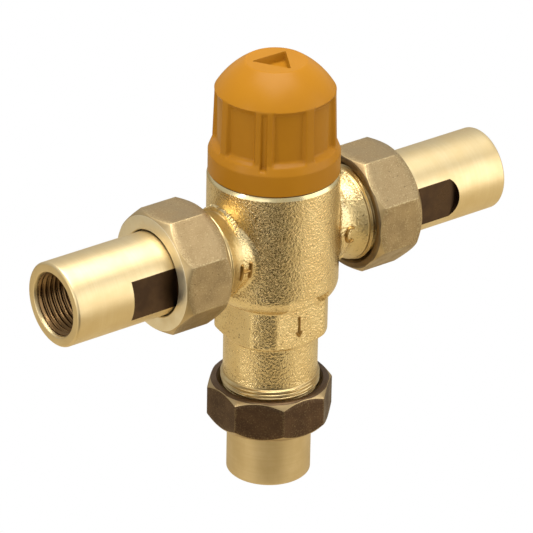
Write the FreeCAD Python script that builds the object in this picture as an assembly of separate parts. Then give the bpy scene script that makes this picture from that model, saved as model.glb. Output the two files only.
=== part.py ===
"""Thermostatic mixing valve with three threaded unions and a domed adjusting cap.

Frame: +Z is the valve axis, cap upwards.  The origin is the centre of the outlet
tube's end face, on which the valve can stand.  The hot inlet points along -X and
the cold inlet along +X.  All sizes are millimetres and degrees.
"""
import FreeCAD, Part
import math
import os
from FreeCAD import Vector as V

os.makedirs("parts", exist_ok=True)

# ---------------------------------------------------------------- driving sizes
ARM_Z = 86.5            # height of the inlet axis above the outlet end
PORT_REACH = 86.7       # valve axis to each inlet end
RUN_FIT = 0.05          # radial clearance of a sliding or turning fit
FACE_GAP = 0.05         # gap between two bodies that are drawn up face to face
FREE_GAP = 0.35         # gap between neighbours that must never touch

# forged body
BODY_R = 21.8           # drum
BODY_TOP = ARM_Z + 23.3
RIM_IN, RIM_DROP = 0.75, 1.1         # machined rim chamfer
ROUND_R = 6.3                        # rounded bottom edge of the drum
DRUM_LOW = ARM_Z - 20.6
NOTCH_HALF, NOTCH_TOP = 7.5, ARM_Z - 14.85   # relief above each front and back flat
BLOCK_FLAT, BLOCK_CORNER = 15.85, 18.6       # square wrench block under the drum
BLOCK_LOW, BLOCK_FADE = ARM_Z - 33.5, 1.4
NECK_R = 15.65
ARM_NECK_R = 13.7
FLARE_FROM, FLARE_TO = 21.5, 27.3    # arm neck opens out to the thread like a trumpet
FLARE_SAG = 0.5
THREAD_R = 15.85                     # union thread at its mean radius
THREAD_ROOT_R = 15.1                 # relieved length that carries the drawn ridges
ARM_BORE_R = 11.4
ARM_BORE_END = 17.0
WINDOW_R, WINDOW_OFF = 4.5, 6.0      # inlet windows, hot below and cold above
OUTLET_BORE_R = 11.2

# cartridge bores in the body
CHAMBER_R = 13.2
CHAMBER_LOW = ARM_Z - 13.0
BONNET_LEDGE = ARM_Z + 12.0

# union nuts (octagonal) and tailpieces
NUT_AF = 39.2
NUT_FACE_R = 19.2
NUT_CHAMFER_RISE = 1.1               # axial fall of the nut chamfer per mm of radius
NUT_MOUTH_R = 17.5
WEB = 3.2                            # nut web that pulls on the collar
TUBE_R = 14.0
TUBE_GAP = 0.5                       # nut hole around the tube
TUBE_EDGE = 0.5
COLLAR_R, COLLAR_T = 15.2, 2.6
WASHER_T, WASHER_BORE_R = 1.6, 10.2
PORT_R, PORT_LEN = 10.45, 16.0       # female pipe thread at its root
PORT_MOUTH_R, PORT_MOUTH_DROP = 10.9, 1.0
WATERWAY_R = 9.5
CAGE_BORE_R, CAGE_LEN = 10.9, 14.0
FLAT_Y = 12.2                        # wrench flats milled on the inlet tubes
FLAT_END = 65.2                      # straight end of the hot tube's flats
CUTTER_R, CUTTER_END = 9.3, 67.0     # rounded end of the cold tube's flats
SIDES = {                            # outward sign, nut outer face, nut length, nut turn
    "hot": (-1, 48.6, 18.0, -2.5),
    "cold": (1, 47.0, 18.0, 0.0),
}
OUTLET_NUT_LOW, OUTLET_NUT_LEN, OUTLET_NUT_TURN = 19.9, 14.2, -2.0

# check valve cartridge and strainer in each inlet tube
CAGE_WALL = 2.25
CAGE_SEAT_T, CAGE_SEAT_R = 2.0, 6.3
POPPET_R, POPPET_T, POPPET_STEM_R = 7.8, 1.6, 1.4
HUB_R, HUB_T = 3.4, 3.2
CHECK_COIL_R, CHECK_WIRE_R = 4.2, 0.35
STRAINER_R, STRAINER_LEN, STRAINER_T, MESH_HOLE_R = 8.8, 10.0, 0.6, 0.9

# thermostatic cartridge
SHUTTLE_R, SHUTTLE_WALL, SHUTTLE_HALF = 11.8, 2.0, 8.0
SHUTTLE_BAND_HALF = 2.4
PORT_OPENING = 0.45                  # gap at each seat with the shuttle in mid travel
RING_WIRE_R = 0.55
HUB_HALF, HUB_OUT = 1.5, 6.6
SPOKE_W = 2.4
NECK_STEM_R = 3.25
ELEMENT_R, ELEMENT_FLANGE_R, ELEMENT_FLANGE_T = 5.0, 6.4, 1.6
ELEMENT_LOW, ELEMENT_TOP = ARM_Z - 30.0, ARM_Z + 4.0
PIN_R, PIN_LOW = 1.6, ARM_Z + 0.0
GUIDE_R, GUIDE_WALL, GUIDE_LEN, GUIDE_LIP_R = 10.8, 0.8, 14.0, 7.4
RETURN_COIL_R, RETURN_WIRE_R = 8.6, 0.65

# bonnet, spindle and overtravel unit
BONNET_AF, BONNET_HEX_T = 30.0, 5.0
GASKET_T, GASKET_WIDTH, GASKET_TO_BRIM = 1.0, 2.2, 1.4
BONNET_NECK_R, BONNET_TOP = 11.0, ARM_Z + 38.0
CARRIER_AF = 16.4
COLLAR_BORE_LOW = ARM_Z + 24.6
SPINDLE_R, SPINDLE_COLLAR_R, SPINDLE_COLLAR_T = 7.4, 8.15, 3.7
SPINDLE_SHOULDER = ARM_Z + 28.6
ROD_R, ROD_LOW = 4.2, ARM_Z + 17.6
SEAL_ZS, SEAL_WIRE_R = (ARM_Z + 31.5, ARM_Z + 35.0), 0.38
CLIP_R, CLIP_T, CLIP_GROOVE = 9.0, 0.9, 0.95
HEAD_LOW, HEAD_TOP = ARM_Z + 40.0, ARM_Z + 53.0
HEAD_CORNER_R = 7.35
CARRIER_LOW, CARRIER_TOP, CARRIER_WEB = ARM_Z + 11.0, ARM_Z + 22.0, 3.0
CARRIER_CAVITY_R = 6.9
PLATE_T = 1.4
OVER_CLIP_T, OVER_CLIP_LIFT, OVER_CLIP_BORE_R = 1.0, 0.6, 5.0
OVER_COIL_R, OVER_WIRE_R = 5.6, 0.55

# adjusting cap
CAP_LOW = BODY_TOP + FREE_GAP
BRIM_R, BRIM_TOP = BODY_R - 0.3, ARM_Z + 31.3
CAP_FOOT_R, CAP_FOOT_Z = BRIM_R - 1.25, ARM_Z + 34.0
CAP_SHOULDER_R, CAP_SHOULDER_Z = BRIM_R - 1.85, ARM_Z + 52.5
CAP_DISC_R, CAP_TOP = 10.0, ARM_Z + 62.1
DOME_BULGE = (CAP_SHOULDER_R - 4.25, ARM_Z + 57.9)    # a point that the dome passes through
BRIM_WALL, CAP_WALL = 1.9, 2.1
GASKET_R = BRIM_R - BRIM_WALL - GASKET_TO_BRIM
BONNET_BORE_R = GASKET_R - GASKET_WIDTH
CAP_CEILING = ARM_Z + 56.5
SOCKET_R, SOCKET_LOW = 9.8, ARM_Z + 41.0
POCKET_CORNER_R, POCKET_DEPTH = 7.8, 3.0
FLUTES, FLUTE_TURN, RIB_DEG, INDEX_RIB_DEG = 8, -137.4, 8.0, 15.0
FLUTE_FLOOR_R, FLUTE_LOW = BRIM_R - 2.55, ARM_Z + 33.6
INDEX_SLOT_W, INDEX_SLOT_DEPTH = 2.5, 0.7
INDEX_SLOT_LOW, INDEX_SLOT_TOP = ARM_Z + 31.9, ARM_Z + 52.2

Z = V(0, 0, 1)
ORIGIN = V(0, 0, 0)


# ------------------------------------------------------------------- shape tools
def lathe(profile):
    """Solid of revolution about Z from (r, z) points; (r, z, rm, zm) is an arc via rm, zm."""
    edges, last = [], None
    ring = list(profile) + [profile[0][:2]]
    for item in ring:
        point = V(item[0], 0, item[1])
        if last is not None and (point - last).Length > 1e-7:
            if len(item) == 4:
                edges.append(Part.Arc(last, V(item[2], 0, item[3]), point).toShape())
            else:
                edges.append(Part.makeLine(last, point))
        last = point
    return Part.Face(Part.Wire(edges)).revolve(ORIGIN, Z, 360)


def tube(r_out, r_in, z0, z1):
    """Plain sleeve, or a disc where r_in is zero."""
    body = Part.makeCylinder(r_out, z1 - z0, V(0, 0, z0))
    return body.cut(Part.makeCylinder(r_in, z1 - z0 + 2, V(0, 0, z0 - 1))) if r_in else body


def prism(corners, corner_r, z0, z1, turn=0.0):
    """Regular prism about Z; `turn` is the angle of its first corner."""
    step = 360.0 / corners
    pts = [V(corner_r * math.cos(math.radians(turn + k * step)),
             corner_r * math.sin(math.radians(turn + k * step)), z0) for k in range(corners)]
    return Part.Face(Part.makePolygon(pts + pts[:1])).extrude(V(0, 0, z1 - z0))


def across_flats(corners, af, z0, z1, turn=0.0):
    """Regular prism given by its width across flats."""
    return prism(corners, af / 2 / math.cos(math.pi / corners), z0, z1, turn)


def box(x0, x1, y0, y1, z0, z1):
    return Part.makeBox(x1 - x0, y1 - y0, z1 - z0, V(x0, y0, z0))


def ring(mean_r, wire_r, z):
    """O-ring about Z."""
    return Part.makeTorus(mean_r, wire_r, V(0, 0, z), Z)


def coil(mean_r, wire_r, z0, z1, turns):
    """Compression spring that just fits between two levels, of eight-sided wire."""
    rise = z1 - z0 - 2 * wire_r
    path = Part.makeHelix(rise / turns, rise, mean_r)
    path.translate(V(0, 0, z0 + wire_r))
    along = V(0, 2 * math.pi * mean_r, rise / turns).normalize()
    across = along.cross(V(1, 0, 0)).normalize()
    corners = []
    for k in range(8):
        angle = math.pi * (k + 0.5) / 4
        corners.append(V(mean_r, 0, z0 + wire_r) + V(wire_r * math.cos(angle), 0, 0)
                       + across * (wire_r * math.sin(angle)))
    wire = Part.Wire(Part.makePolygon(corners + corners[:1]).Edges)
    return Part.Wire(path).makePipeShell([wire], True, True)


def to_arm(shape, sign):
    """Carry a shape drawn up +Z onto the inlet axis, pointing along sign * X."""
    moved = shape.copy()
    moved.rotate(ORIGIN, V(0, 1, 0), 90 * sign)
    moved.translate(V(0, 0, ARM_Z))
    return moved


def pattern(shape, count, turn=0.0):
    """Copies of a shape turned about Z, as one compound."""
    copies = []
    for k in range(count):
        one = shape.copy()
        one.rotate(ORIGIN, Z, turn + k * 360.0 / count)
        copies.append(one)
    return Part.makeCompound(copies)


def save(name, shape):
    """Write one piece, checking that it is a single sound solid."""
    solid = shape.Solids[0] if len(shape.Solids) == 1 else shape.removeSplitter()
    if len(solid.Solids) != 1 or not solid.isValid():
        raise ValueError("%s: %d solids, valid %s" % (name, len(solid.Solids), solid.isValid()))
    solid.exportStep("parts/%s.step" % name)
    b = solid.BoundBox
    print("%-24s %8.2f cm3  x %.1f..%.1f  y %.1f..%.1f  z %.1f..%.1f" % (
        name, solid.Volume / 1000, b.XMin, b.XMax, b.YMin, b.YMax, b.ZMin, b.ZMax))


# ---------------------------------------------------------------- union stations
def station(nut_face):
    """Levels along a union, outwards from the valve: spigot end, collar face, collar back."""
    collar_back = nut_face - WEB - FACE_GAP
    collar_face = collar_back - COLLAR_T
    return collar_face - WASHER_T - FACE_GAP, collar_face, collar_back


OUTLET_NUT_FACE = ARM_Z - OUTLET_NUT_LOW    # measured downwards from the inlet axis
OUTLET_REACH = ARM_Z
OUTLET_RELIEF_FROM = 48.0


# --------------------------------------------------------------------- the body
def spigot(root_r, relief_from, relief_to, end):
    """Union spigot drawn outwards: root, relieved thread, full thread to its end."""
    return lathe([(0, 0), (root_r, 0), (root_r, relief_from), (THREAD_ROOT_R, relief_from),
                  (THREAD_ROOT_R, relief_to), (THREAD_R, relief_to), (THREAD_R, end - 0.6),
                  (THREAD_R - 0.6, end), (0, end)])


def make_body():
    arc = ROUND_R * math.sqrt(0.5)
    centre_r, centre_z = BODY_R - ROUND_R, DRUM_LOW + ROUND_R
    drum = lathe([(0, DRUM_LOW), (centre_r, DRUM_LOW),
                  (BODY_R, centre_z, centre_r + arc, centre_z - arc),
                  (BODY_R, BODY_TOP - RIM_DROP), (BODY_R - RIM_IN, BODY_TOP), (0, BODY_TOP)])
    for side in (-1, 1):
        y0, y1 = sorted((side * BLOCK_FLAT, side * (BODY_R + 1)))
        drum = drum.cut(box(-NOTCH_HALF, NOTCH_HALF, y0, y1, DRUM_LOW - 1, NOTCH_TOP))
    block = lathe([(0, BLOCK_LOW - BLOCK_FADE), (NECK_R, BLOCK_LOW - BLOCK_FADE),
                   (BLOCK_CORNER, BLOCK_LOW), (BLOCK_CORNER, NOTCH_TOP), (0, NOTCH_TOP)])
    block = block.common(box(-BLOCK_FLAT, BLOCK_FLAT, -BLOCK_FLAT, BLOCK_FLAT,
                             BLOCK_LOW - BLOCK_FADE - 1, NOTCH_TOP + 1))
    end = station(OUTLET_NUT_FACE)[0]
    mouth = OUTLET_NUT_FACE - OUTLET_NUT_LEN + NUT_MOUTH_R - THREAD_R
    down = spigot(NECK_R, OUTLET_RELIEF_FROM, mouth, end)
    down.rotate(ORIGIN, V(1, 0, 0), 180)
    down.translate(V(0, 0, ARM_Z))
    solids = [block, down]
    for sign, face, length, _ in SIDES.values():
        mouth = face - length + NUT_MOUTH_R - THREAD_R
        arm = lathe([(0, 0), (ARM_NECK_R, 0), (ARM_NECK_R, FLARE_FROM),
                     (THREAD_R, FLARE_TO, (ARM_NECK_R + THREAD_R) / 2 - FLARE_SAG,
                      (FLARE_FROM + FLARE_TO) / 2),
                     (THREAD_R, FLARE_TO + 0.7), (THREAD_ROOT_R, FLARE_TO + 0.9),
                     (THREAD_ROOT_R, mouth), (THREAD_R, mouth),
                     (THREAD_R, station(face)[0] - 0.6), (THREAD_R - 0.6, station(face)[0]),
                     (0, station(face)[0])])
        solids.append(to_arm(arm, sign))
    body = drum.multiFuse(solids)
    cuts = [lathe([(0, BODY_TOP + 1), (BONNET_BORE_R, BODY_TOP + 1), (BONNET_BORE_R, BONNET_LEDGE),
                   (CHAMBER_R, BONNET_LEDGE), (CHAMBER_R, CHAMBER_LOW),
                   (OUTLET_BORE_R, CHAMBER_LOW), (OUTLET_BORE_R, ARM_Z - end - 1),
                   (0, ARM_Z - end - 1)])]
    window = Part.makeCylinder(WINDOW_R, ARM_BORE_END + 1, V(-WINDOW_OFF, 0, 0))
    for sign, face, _, _ in SIDES.values():
        cuts.append(to_arm(tube(ARM_BORE_R, 0, ARM_BORE_END, station(face)[0] + 1), sign))
        cuts.append(to_arm(window, sign))
    return body.cut(cuts)


# ------------------------------------------------------------ unions, drawn up +Z
def make_nut(face, length, turn, sign):
    """Octagonal union nut; the web is at `face`, the mouth looks back at the body."""
    corner = NUT_AF / 2 / math.cos(math.pi / 8)
    fall = (corner + 1 - NUT_FACE_R) * NUT_CHAMFER_RISE
    back = face - length
    blank = lathe([(0, back), (NUT_FACE_R, back), (corner + 1, back + fall),
                   (corner + 1, face - fall), (NUT_FACE_R, face), (0, face)])
    blank = blank.common(across_flats(8, NUT_AF, back - 1, face + 1, 22.5 + turn * sign))
    bore = THREAD_R + RUN_FIT
    return blank.cut(lathe([(0, back - 1), (NUT_MOUTH_R + 1, back - 1),
                            (bore, back + NUT_MOUTH_R - bore), (bore, face - WEB),
                            (TUBE_R + TUBE_GAP, face - WEB), (TUBE_R + TUBE_GAP, face + 1),
                            (0, face + 1)]))


def make_tailpiece(face, reach, check):
    """Collared tube with a female pipe thread at its outer end."""
    _, near, back = station(face)
    outer = lathe([(0, near), (COLLAR_R, near), (COLLAR_R, back), (TUBE_R, back),
                   (TUBE_R, reach - TUBE_EDGE), (TUBE_R - TUBE_EDGE, reach), (0, reach)])
    bore = [(0, reach + 1), (PORT_MOUTH_R, reach + 1), (PORT_MOUTH_R, reach),
            (PORT_R, reach - PORT_MOUTH_DROP), (PORT_R, reach - PORT_LEN),
            (WATERWAY_R, reach - PORT_LEN - 1)]
    if check:
        shoulder = near + CAGE_LEN + STRAINER_T + 3 * FACE_GAP
        bore += [(WATERWAY_R, shoulder), (CAGE_BORE_R, shoulder), (CAGE_BORE_R, near - 1)]
    else:
        bore += [(WATERWAY_R, near - 1)]
    return outer.cut(lathe(bore + [(0, near - 1)]))


def mill_flats(shape, face, rounded):
    """Two wrench flats, front and back, starting behind the collar under the nut."""
    start = station(face)[2] + 1.0
    for side in (-1, 1):
        y0, y1 = sorted((side * FLAT_Y, side * (TUBE_R + 1)))
        end = CUTTER_END - CUTTER_R if rounded else FLAT_END
        shape = shape.cut(box(-TUBE_R, TUBE_R, y0, y1, start, end))
        if rounded:
            cutter = Part.makeCylinder(CUTTER_R, y1 - y0, V(0, y0, end), V(0, 1, 0))
            shape = shape.cut(cutter)
    return shape


def make_washer(face, bore_r):
    near = station(face)[1]
    return tube(COLLAR_R - 0.2, bore_r, near - WASHER_T, near)


def check_levels(face):
    """Levels of the check cartridge: cage start, hub end, poppet back, poppet face, cage end."""
    start = station(face)[1] + FACE_GAP
    end = start + CAGE_LEN
    poppet_face = end - CAGE_SEAT_T - FACE_GAP
    return start, start + HUB_T, poppet_face - POPPET_T, poppet_face, end


def make_check_set(face):
    """Cage, seal, poppet, spring and strainer of one inlet, drawn up +Z."""
    start, hub_end, back, front, end = check_levels(face)
    cage_r = CAGE_BORE_R - RUN_FIT
    groove_z = (start + end) / 2
    groove_r = cage_r - 2 * RING_WIRE_R + 0.1
    cage = tube(cage_r, cage_r - CAGE_WALL, start, end - CAGE_SEAT_T)
    cage = cage.fuse(tube(cage_r, CAGE_SEAT_R, end - CAGE_SEAT_T, end))
    hub_bore = POPPET_STEM_R + RUN_FIT
    spokes = pattern(box(HUB_R - 0.6, cage_r - 0.5, -0.7, 0.7, start, hub_end), 3)
    cage = cage.multiFuse([tube(HUB_R, hub_bore, start, hub_end)] + spokes.Solids)
    cage = cage.cut(tube(cage_r + 1, groove_r, groove_z - RING_WIRE_R, groove_z + RING_WIRE_R))
    seal = ring(groove_r + RING_WIRE_R - 0.05, RING_WIRE_R - 0.06, groove_z)
    poppet = lathe([(0, start - 0.1), (POPPET_STEM_R, start - 0.1), (POPPET_STEM_R, back),
                    (POPPET_R, back), (POPPET_R, front), (CAGE_SEAT_R - 0.4, front),
                    (CAGE_SEAT_R - 1.6, front + 1.4), (0, front + 1.4)])
    spring = coil(CHECK_COIL_R, CHECK_WIRE_R, hub_end, back, 4)
    foot = end + FACE_GAP
    far = foot + STRAINER_LEN
    basket = lathe([(CAGE_SEAT_R, foot), (CAGE_BORE_R - RUN_FIT, foot),
                    (CAGE_BORE_R - RUN_FIT, foot + STRAINER_T), (STRAINER_R, foot + STRAINER_T),
                    (STRAINER_R, far), (0, far), (0, far - STRAINER_T),
                    (STRAINER_R - STRAINER_T, far - STRAINER_T),
                    (STRAINER_R - STRAINER_T, foot + STRAINER_T), (CAGE_SEAT_R, foot + STRAINER_T)])
    holes = []
    for row in range(3):
        z = foot + STRAINER_T + 2.0 + row * 2.6
        hole = Part.makeCylinder(MESH_HOLE_R, STRAINER_R + 1, V(0, 0, z), V(1, 0, 0))
        holes += pattern(hole, 10, 18.0 * (row % 2)).Solids
    return {"check_cage": cage, "check_seal": seal, "check_poppet": poppet,
            "check_spring": spring, "strainer": basket.cut(holes)}


# --------------------------------------------------------- thermostatic cartridge
def make_shuttle():
    inner = SHUTTLE_R - SHUTTLE_WALL
    band = CHAMBER_R - RUN_FIT
    sleeve = tube(SHUTTLE_R, inner, ARM_Z - SHUTTLE_HALF, ARM_Z + SHUTTLE_HALF)
    sleeve = sleeve.fuse(tube(band, inner, ARM_Z - SHUTTLE_BAND_HALF, ARM_Z + SHUTTLE_BAND_HALF))
    spoke = box(HUB_OUT - 0.5, inner + 0.5, -SPOKE_W / 2, SPOKE_W / 2, ARM_Z - HUB_HALF, ARM_Z + HUB_HALF)
    hub = tube(HUB_OUT, NECK_STEM_R + RUN_FIT, ARM_Z - HUB_HALF, ARM_Z + HUB_HALF)
    sleeve = sleeve.multiFuse([hub] + pattern(spoke, 4, 45).Solids)
    groove = band - 2 * RING_WIRE_R - 0.05
    return sleeve.cut(tube(band + 1, groove, ARM_Z - 1.1, ARM_Z + 1.1))


def make_element():
    flange_top = ARM_Z - HUB_HALF
    flange_low = flange_top - ELEMENT_FLANGE_T
    body = lathe([(0, ELEMENT_LOW), (ELEMENT_R - 1.5, ELEMENT_LOW), (ELEMENT_R, ELEMENT_LOW + 1.5),
                  (ELEMENT_R, flange_low), (ELEMENT_FLANGE_R, flange_low),
                  (ELEMENT_FLANGE_R, flange_top), (NECK_STEM_R, flange_top),
                  (NECK_STEM_R, ELEMENT_TOP), (0, ELEMENT_TOP)])
    return body.cut(tube(PIN_R + RUN_FIT, 0, PIN_LOW - 3.0, ELEMENT_TOP + 1))


def make_guide():
    top = CHAMBER_LOW + 1.0
    low = CHAMBER_LOW - GUIDE_LEN
    inner = GUIDE_R - GUIDE_WALL
    shell = lathe([(GUIDE_LIP_R, low), (GUIDE_R, low), (GUIDE_R, CHAMBER_LOW),
                   (CHAMBER_R - RUN_FIT, CHAMBER_LOW), (CHAMBER_R - RUN_FIT, top),
                   (inner, top), (inner, low + 1.0), (GUIDE_LIP_R, low + 1.0)])
    slot = box(inner - 1, GUIDE_R + 1, -2.0, 2.0, low + 3.0, CHAMBER_LOW - 2.5)
    return shell.cut(pattern(slot, 6).Solids), top, low + 1.0


def make_bonnet():
    seat_face = ARM_Z + SHUTTLE_HALF + PORT_OPENING
    flange_low = BODY_TOP + GASKET_T
    flange_top = flange_low + BONNET_HEX_T
    skirt = CHAMBER_R - RUN_FIT
    thread = BONNET_BORE_R - RUN_FIT
    body = lathe([(0, seat_face), (skirt, seat_face), (skirt, BONNET_LEDGE), (thread, BONNET_LEDGE),
                  (thread, flange_top - 1), (BONNET_NECK_R, flange_top - 1),
                  (BONNET_NECK_R, BONNET_TOP), (0, BONNET_TOP)])
    hexagon = across_flats(6, BONNET_AF, flange_low, flange_top, 30).fuse(
        tube(GASKET_R, 0, flange_low, flange_low + 1.2))
    shape = body.fuse(hexagon.common(tube(GASKET_R, 0, flange_low, flange_top)))
    bore = SPINDLE_R + RUN_FIT
    shape = shape.cut(lathe([(0, COLLAR_BORE_LOW), (SPINDLE_COLLAR_R + RUN_FIT, COLLAR_BORE_LOW),
                             (SPINDLE_COLLAR_R + RUN_FIT, SPINDLE_SHOULDER),
                             (bore, SPINDLE_SHOULDER), (bore, BONNET_TOP + 1), (0, BONNET_TOP + 1)]))
    return shape.cut(across_flats(6, CARRIER_AF + 2 * RUN_FIT, seat_face - 1, COLLAR_BORE_LOW, 30))


def make_spindle():
    collar_low = SPINDLE_SHOULDER - FACE_GAP - SPINDLE_COLLAR_T
    clip_low = BONNET_TOP + FREE_GAP
    groove_r = SPINDLE_R - 2 * SEAL_WIRE_R - 0.04
    profile = [(0, ROD_LOW), (ROD_R - 0.5, ROD_LOW), (ROD_R, ROD_LOW + 0.5), (ROD_R, collar_low),
               (SPINDLE_COLLAR_R, collar_low), (SPINDLE_COLLAR_R, SPINDLE_SHOULDER - FACE_GAP),
               (SPINDLE_R, SPINDLE_SHOULDER - FACE_GAP)]
    for z in SEAL_ZS:
        profile += [(SPINDLE_R, z - 0.45), (groove_r, z - 0.45), (groove_r, z + 0.45),
                    (SPINDLE_R, z + 0.45)]
    profile += [(SPINDLE_R, clip_low), (SPINDLE_R - CLIP_GROOVE, clip_low),
                (SPINDLE_R - CLIP_GROOVE, clip_low + CLIP_T + 0.05),
                (SPINDLE_R, clip_low + CLIP_T + 0.05), (SPINDLE_R, HEAD_LOW), (0, HEAD_LOW)]
    head = prism(3, HEAD_CORNER_R, HEAD_LOW - 0.2, HEAD_TOP, 150)
    head = head.common(lathe([(0, HEAD_LOW - 0.2), (SPINDLE_R - 0.3, HEAD_LOW - 0.2),
                              (SPINDLE_R - 0.3, HEAD_TOP - 1.2), (SPINDLE_R - 1.5, HEAD_TOP),
                              (0, HEAD_TOP)]))
    return lathe(profile).fuse(head), clip_low


def make_carrier():
    cavity_top = CARRIER_TOP - CARRIER_WEB
    block = across_flats(6, CARRIER_AF, CARRIER_LOW, CARRIER_TOP, 30)
    return block.cut([tube(CARRIER_CAVITY_R, 0, CARRIER_LOW - 1, cavity_top),
                      tube(ROD_R + RUN_FIT, 0, cavity_top - 1, CARRIER_TOP + 1)]), cavity_top


def make_cap():
    mid_r, mid_z = DOME_BULGE
    outer = lathe([(0, CAP_LOW), (BRIM_R, CAP_LOW), (BRIM_R, BRIM_TOP), (BRIM_R - 0.35, BRIM_TOP + 0.5),
                   (CAP_FOOT_R, CAP_FOOT_Z), (CAP_SHOULDER_R, CAP_SHOULDER_Z),
                   (CAP_DISC_R, CAP_TOP, mid_r, mid_z), (0, CAP_TOP)])
    ribs = [FLUTE_TURN + k * 360.0 / FLUTES for k in range(FLUTES + 1)]
    floor = tube(FLUTE_FLOOR_R, 0, FLUTE_LOW - 1, CAP_TOP + 1)
    for k in range(FLUTES):
        a0 = ribs[k] + (INDEX_RIB_DEG if k == 0 else RIB_DEG) / 2
        a1 = ribs[k + 1] - (INDEX_RIB_DEG if k == FLUTES - 1 else RIB_DEG) / 2
        wedge = Part.makeCylinder(BRIM_R + 2, CAP_TOP - FLUTE_LOW, V(0, 0, FLUTE_LOW), Z, a1 - a0)
        wedge.rotate(ORIGIN, Z, a0)
        outer = outer.cut(wedge.cut(floor))
    slot_r = CAP_SHOULDER_R - INDEX_SLOT_DEPTH
    slot = box(slot_r, BRIM_R + 2, -INDEX_SLOT_W / 2, INDEX_SLOT_W / 2, INDEX_SLOT_LOW, INDEX_SLOT_TOP)
    slot.rotate(ORIGIN, Z, FLUTE_TURN)
    outer = outer.cut(slot)
    inside = FLUTE_FLOOR_R - CAP_WALL
    outer = outer.cut(lathe([(0, CAP_LOW - 1), (BRIM_R - BRIM_WALL, CAP_LOW - 1),
                             (BRIM_R - BRIM_WALL, BRIM_TOP - 1.5), (inside, BRIM_TOP + 1.5),
                             (inside, CAP_CEILING - 6.0), (inside - 6.0, CAP_CEILING),
                             (0, CAP_CEILING)]))
    socket = tube(SOCKET_R, 0, SOCKET_LOW, CAP_CEILING + 0.5)
    webs = pattern(box(SOCKET_R - 0.5, inside - 0.8, -0.8, 0.8, SOCKET_LOW + 6.0, CAP_CEILING), 4, 45)
    webs = [w.common(lathe([(0, SOCKET_LOW), (inside + 0.3, SOCKET_LOW), (inside + 0.3, CAP_CEILING - 6.0),
                            (inside - 5.7, CAP_CEILING + 0.3), (0, CAP_CEILING + 0.3)])) for w in webs.Solids]
    outer = outer.multiFuse([socket] + webs)
    key_r = HEAD_CORNER_R + 2 * RUN_FIT
    outer = outer.cut(prism(3, key_r, SOCKET_LOW - 1, HEAD_TOP + FREE_GAP, 150))
    return outer.cut(prism(3, POCKET_CORNER_R, CAP_TOP - POCKET_DEPTH, CAP_TOP + 1, 150))


# ------------------------------------------------------------------------ build
save("valve_body", make_body())

for side, (sign, face, length, turn) in SIDES.items():
    save(side + "_union_nut", to_arm(make_nut(face, length, turn, sign), sign))
    tail = mill_flats(make_tailpiece(face, PORT_REACH, True), face, side == "cold")
    save(side + "_tailpiece", to_arm(tail, sign))
    save(side + "_union_washer", to_arm(make_washer(face, WASHER_BORE_R), sign))
    for piece, shape in make_check_set(face).items():
        save("%s_%s" % (side, piece), to_arm(shape, sign))


def to_outlet(shape):
    """Carry a union drawn up +Z to point down from the inlet axis."""
    shape.rotate(ORIGIN, V(1, 0, 0), 180)
    shape.translate(V(0, 0, ARM_Z))
    return shape


save("outlet_union_nut", to_outlet(make_nut(OUTLET_NUT_FACE, OUTLET_NUT_LEN, OUTLET_NUT_TURN, -1)))
save("outlet_tailpiece", to_outlet(make_tailpiece(OUTLET_NUT_FACE, OUTLET_REACH, False)))
save("outlet_union_washer", to_outlet(make_washer(OUTLET_NUT_FACE, WATERWAY_R)))

guide, guide_top, spring_foot = make_guide()
seat_top = ARM_Z - SHUTTLE_HALF - PORT_OPENING
shuttle_inner = SHUTTLE_R - SHUTTLE_WALL
save("flow_guide", guide)
save("hot_seat", tube(CHAMBER_R - RUN_FIT, shuttle_inner + 0.1, guide_top, seat_top))
save("shuttle", make_shuttle())
save("shuttle_seal", ring(CHAMBER_R - RUN_FIT - RING_WIRE_R - 0.04, RING_WIRE_R - 0.03, ARM_Z))
save("wax_element", make_element())
save("element_clip", tube(HUB_OUT - 1.6, NECK_STEM_R + RUN_FIT, ARM_Z + HUB_HALF, ARM_Z + HUB_HALF + 0.8))
save("return_spring", coil(RETURN_COIL_R, RETURN_WIRE_R, spring_foot, ARM_Z - HUB_HALF, 6))

save("bonnet", make_bonnet())
save("bonnet_gasket", tube(GASKET_R, BONNET_BORE_R, BODY_TOP, BODY_TOP + GASKET_T))
spindle, clip_low = make_spindle()
save("adjusting_spindle", spindle)
for name, z in zip(("lower", "upper"), SEAL_ZS):
    save("spindle_seal_" + name, ring(SPINDLE_R - SEAL_WIRE_R - 0.01, SEAL_WIRE_R - 0.01, z))
save("spindle_clip", tube(CLIP_R, SPINDLE_R - CLIP_GROOVE + 0.03, clip_low, clip_low + CLIP_T))

carrier, cavity_top = make_carrier()
over_clip_low = CARRIER_LOW + OVER_CLIP_LIFT
plate_low = over_clip_low + OVER_CLIP_T
save("overtravel_carrier", carrier)
save("overtravel_clip", tube(CARRIER_CAVITY_R - 0.02, OVER_CLIP_BORE_R, over_clip_low, plate_low))
save("overtravel_plate", tube(CARRIER_CAVITY_R - RUN_FIT, 0, plate_low + FACE_GAP, plate_low + FACE_GAP + PLATE_T))
save("overtravel_spring", coil(OVER_COIL_R, OVER_WIRE_R, plate_low + FACE_GAP + PLATE_T, cavity_top, 3))
save("element_pin", tube(PIN_R, 0, PIN_LOW, plate_low + FACE_GAP))
save("temperature_cap", make_cap())
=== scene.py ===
"""Dressed model of a thermostatic mixing valve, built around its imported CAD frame.

Lengths are in millimetres until a mesh is made, apart from the studio's and the
springs', which are in metres as their comments say.  Meshes are in metres, in the
frame of the part: +Z is the valve axis, the hot inlet points along -X, the cold
inlet along +X and the front, with its flow arrow, faces -Y.
"""
from __future__ import annotations

import logging
import math
from dataclasses import dataclass, field
from enum import Enum, IntEnum
from typing import Callable, Sequence

import bmesh
import bpy
import numpy as np
from mathutils import Matrix, Vector

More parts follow.
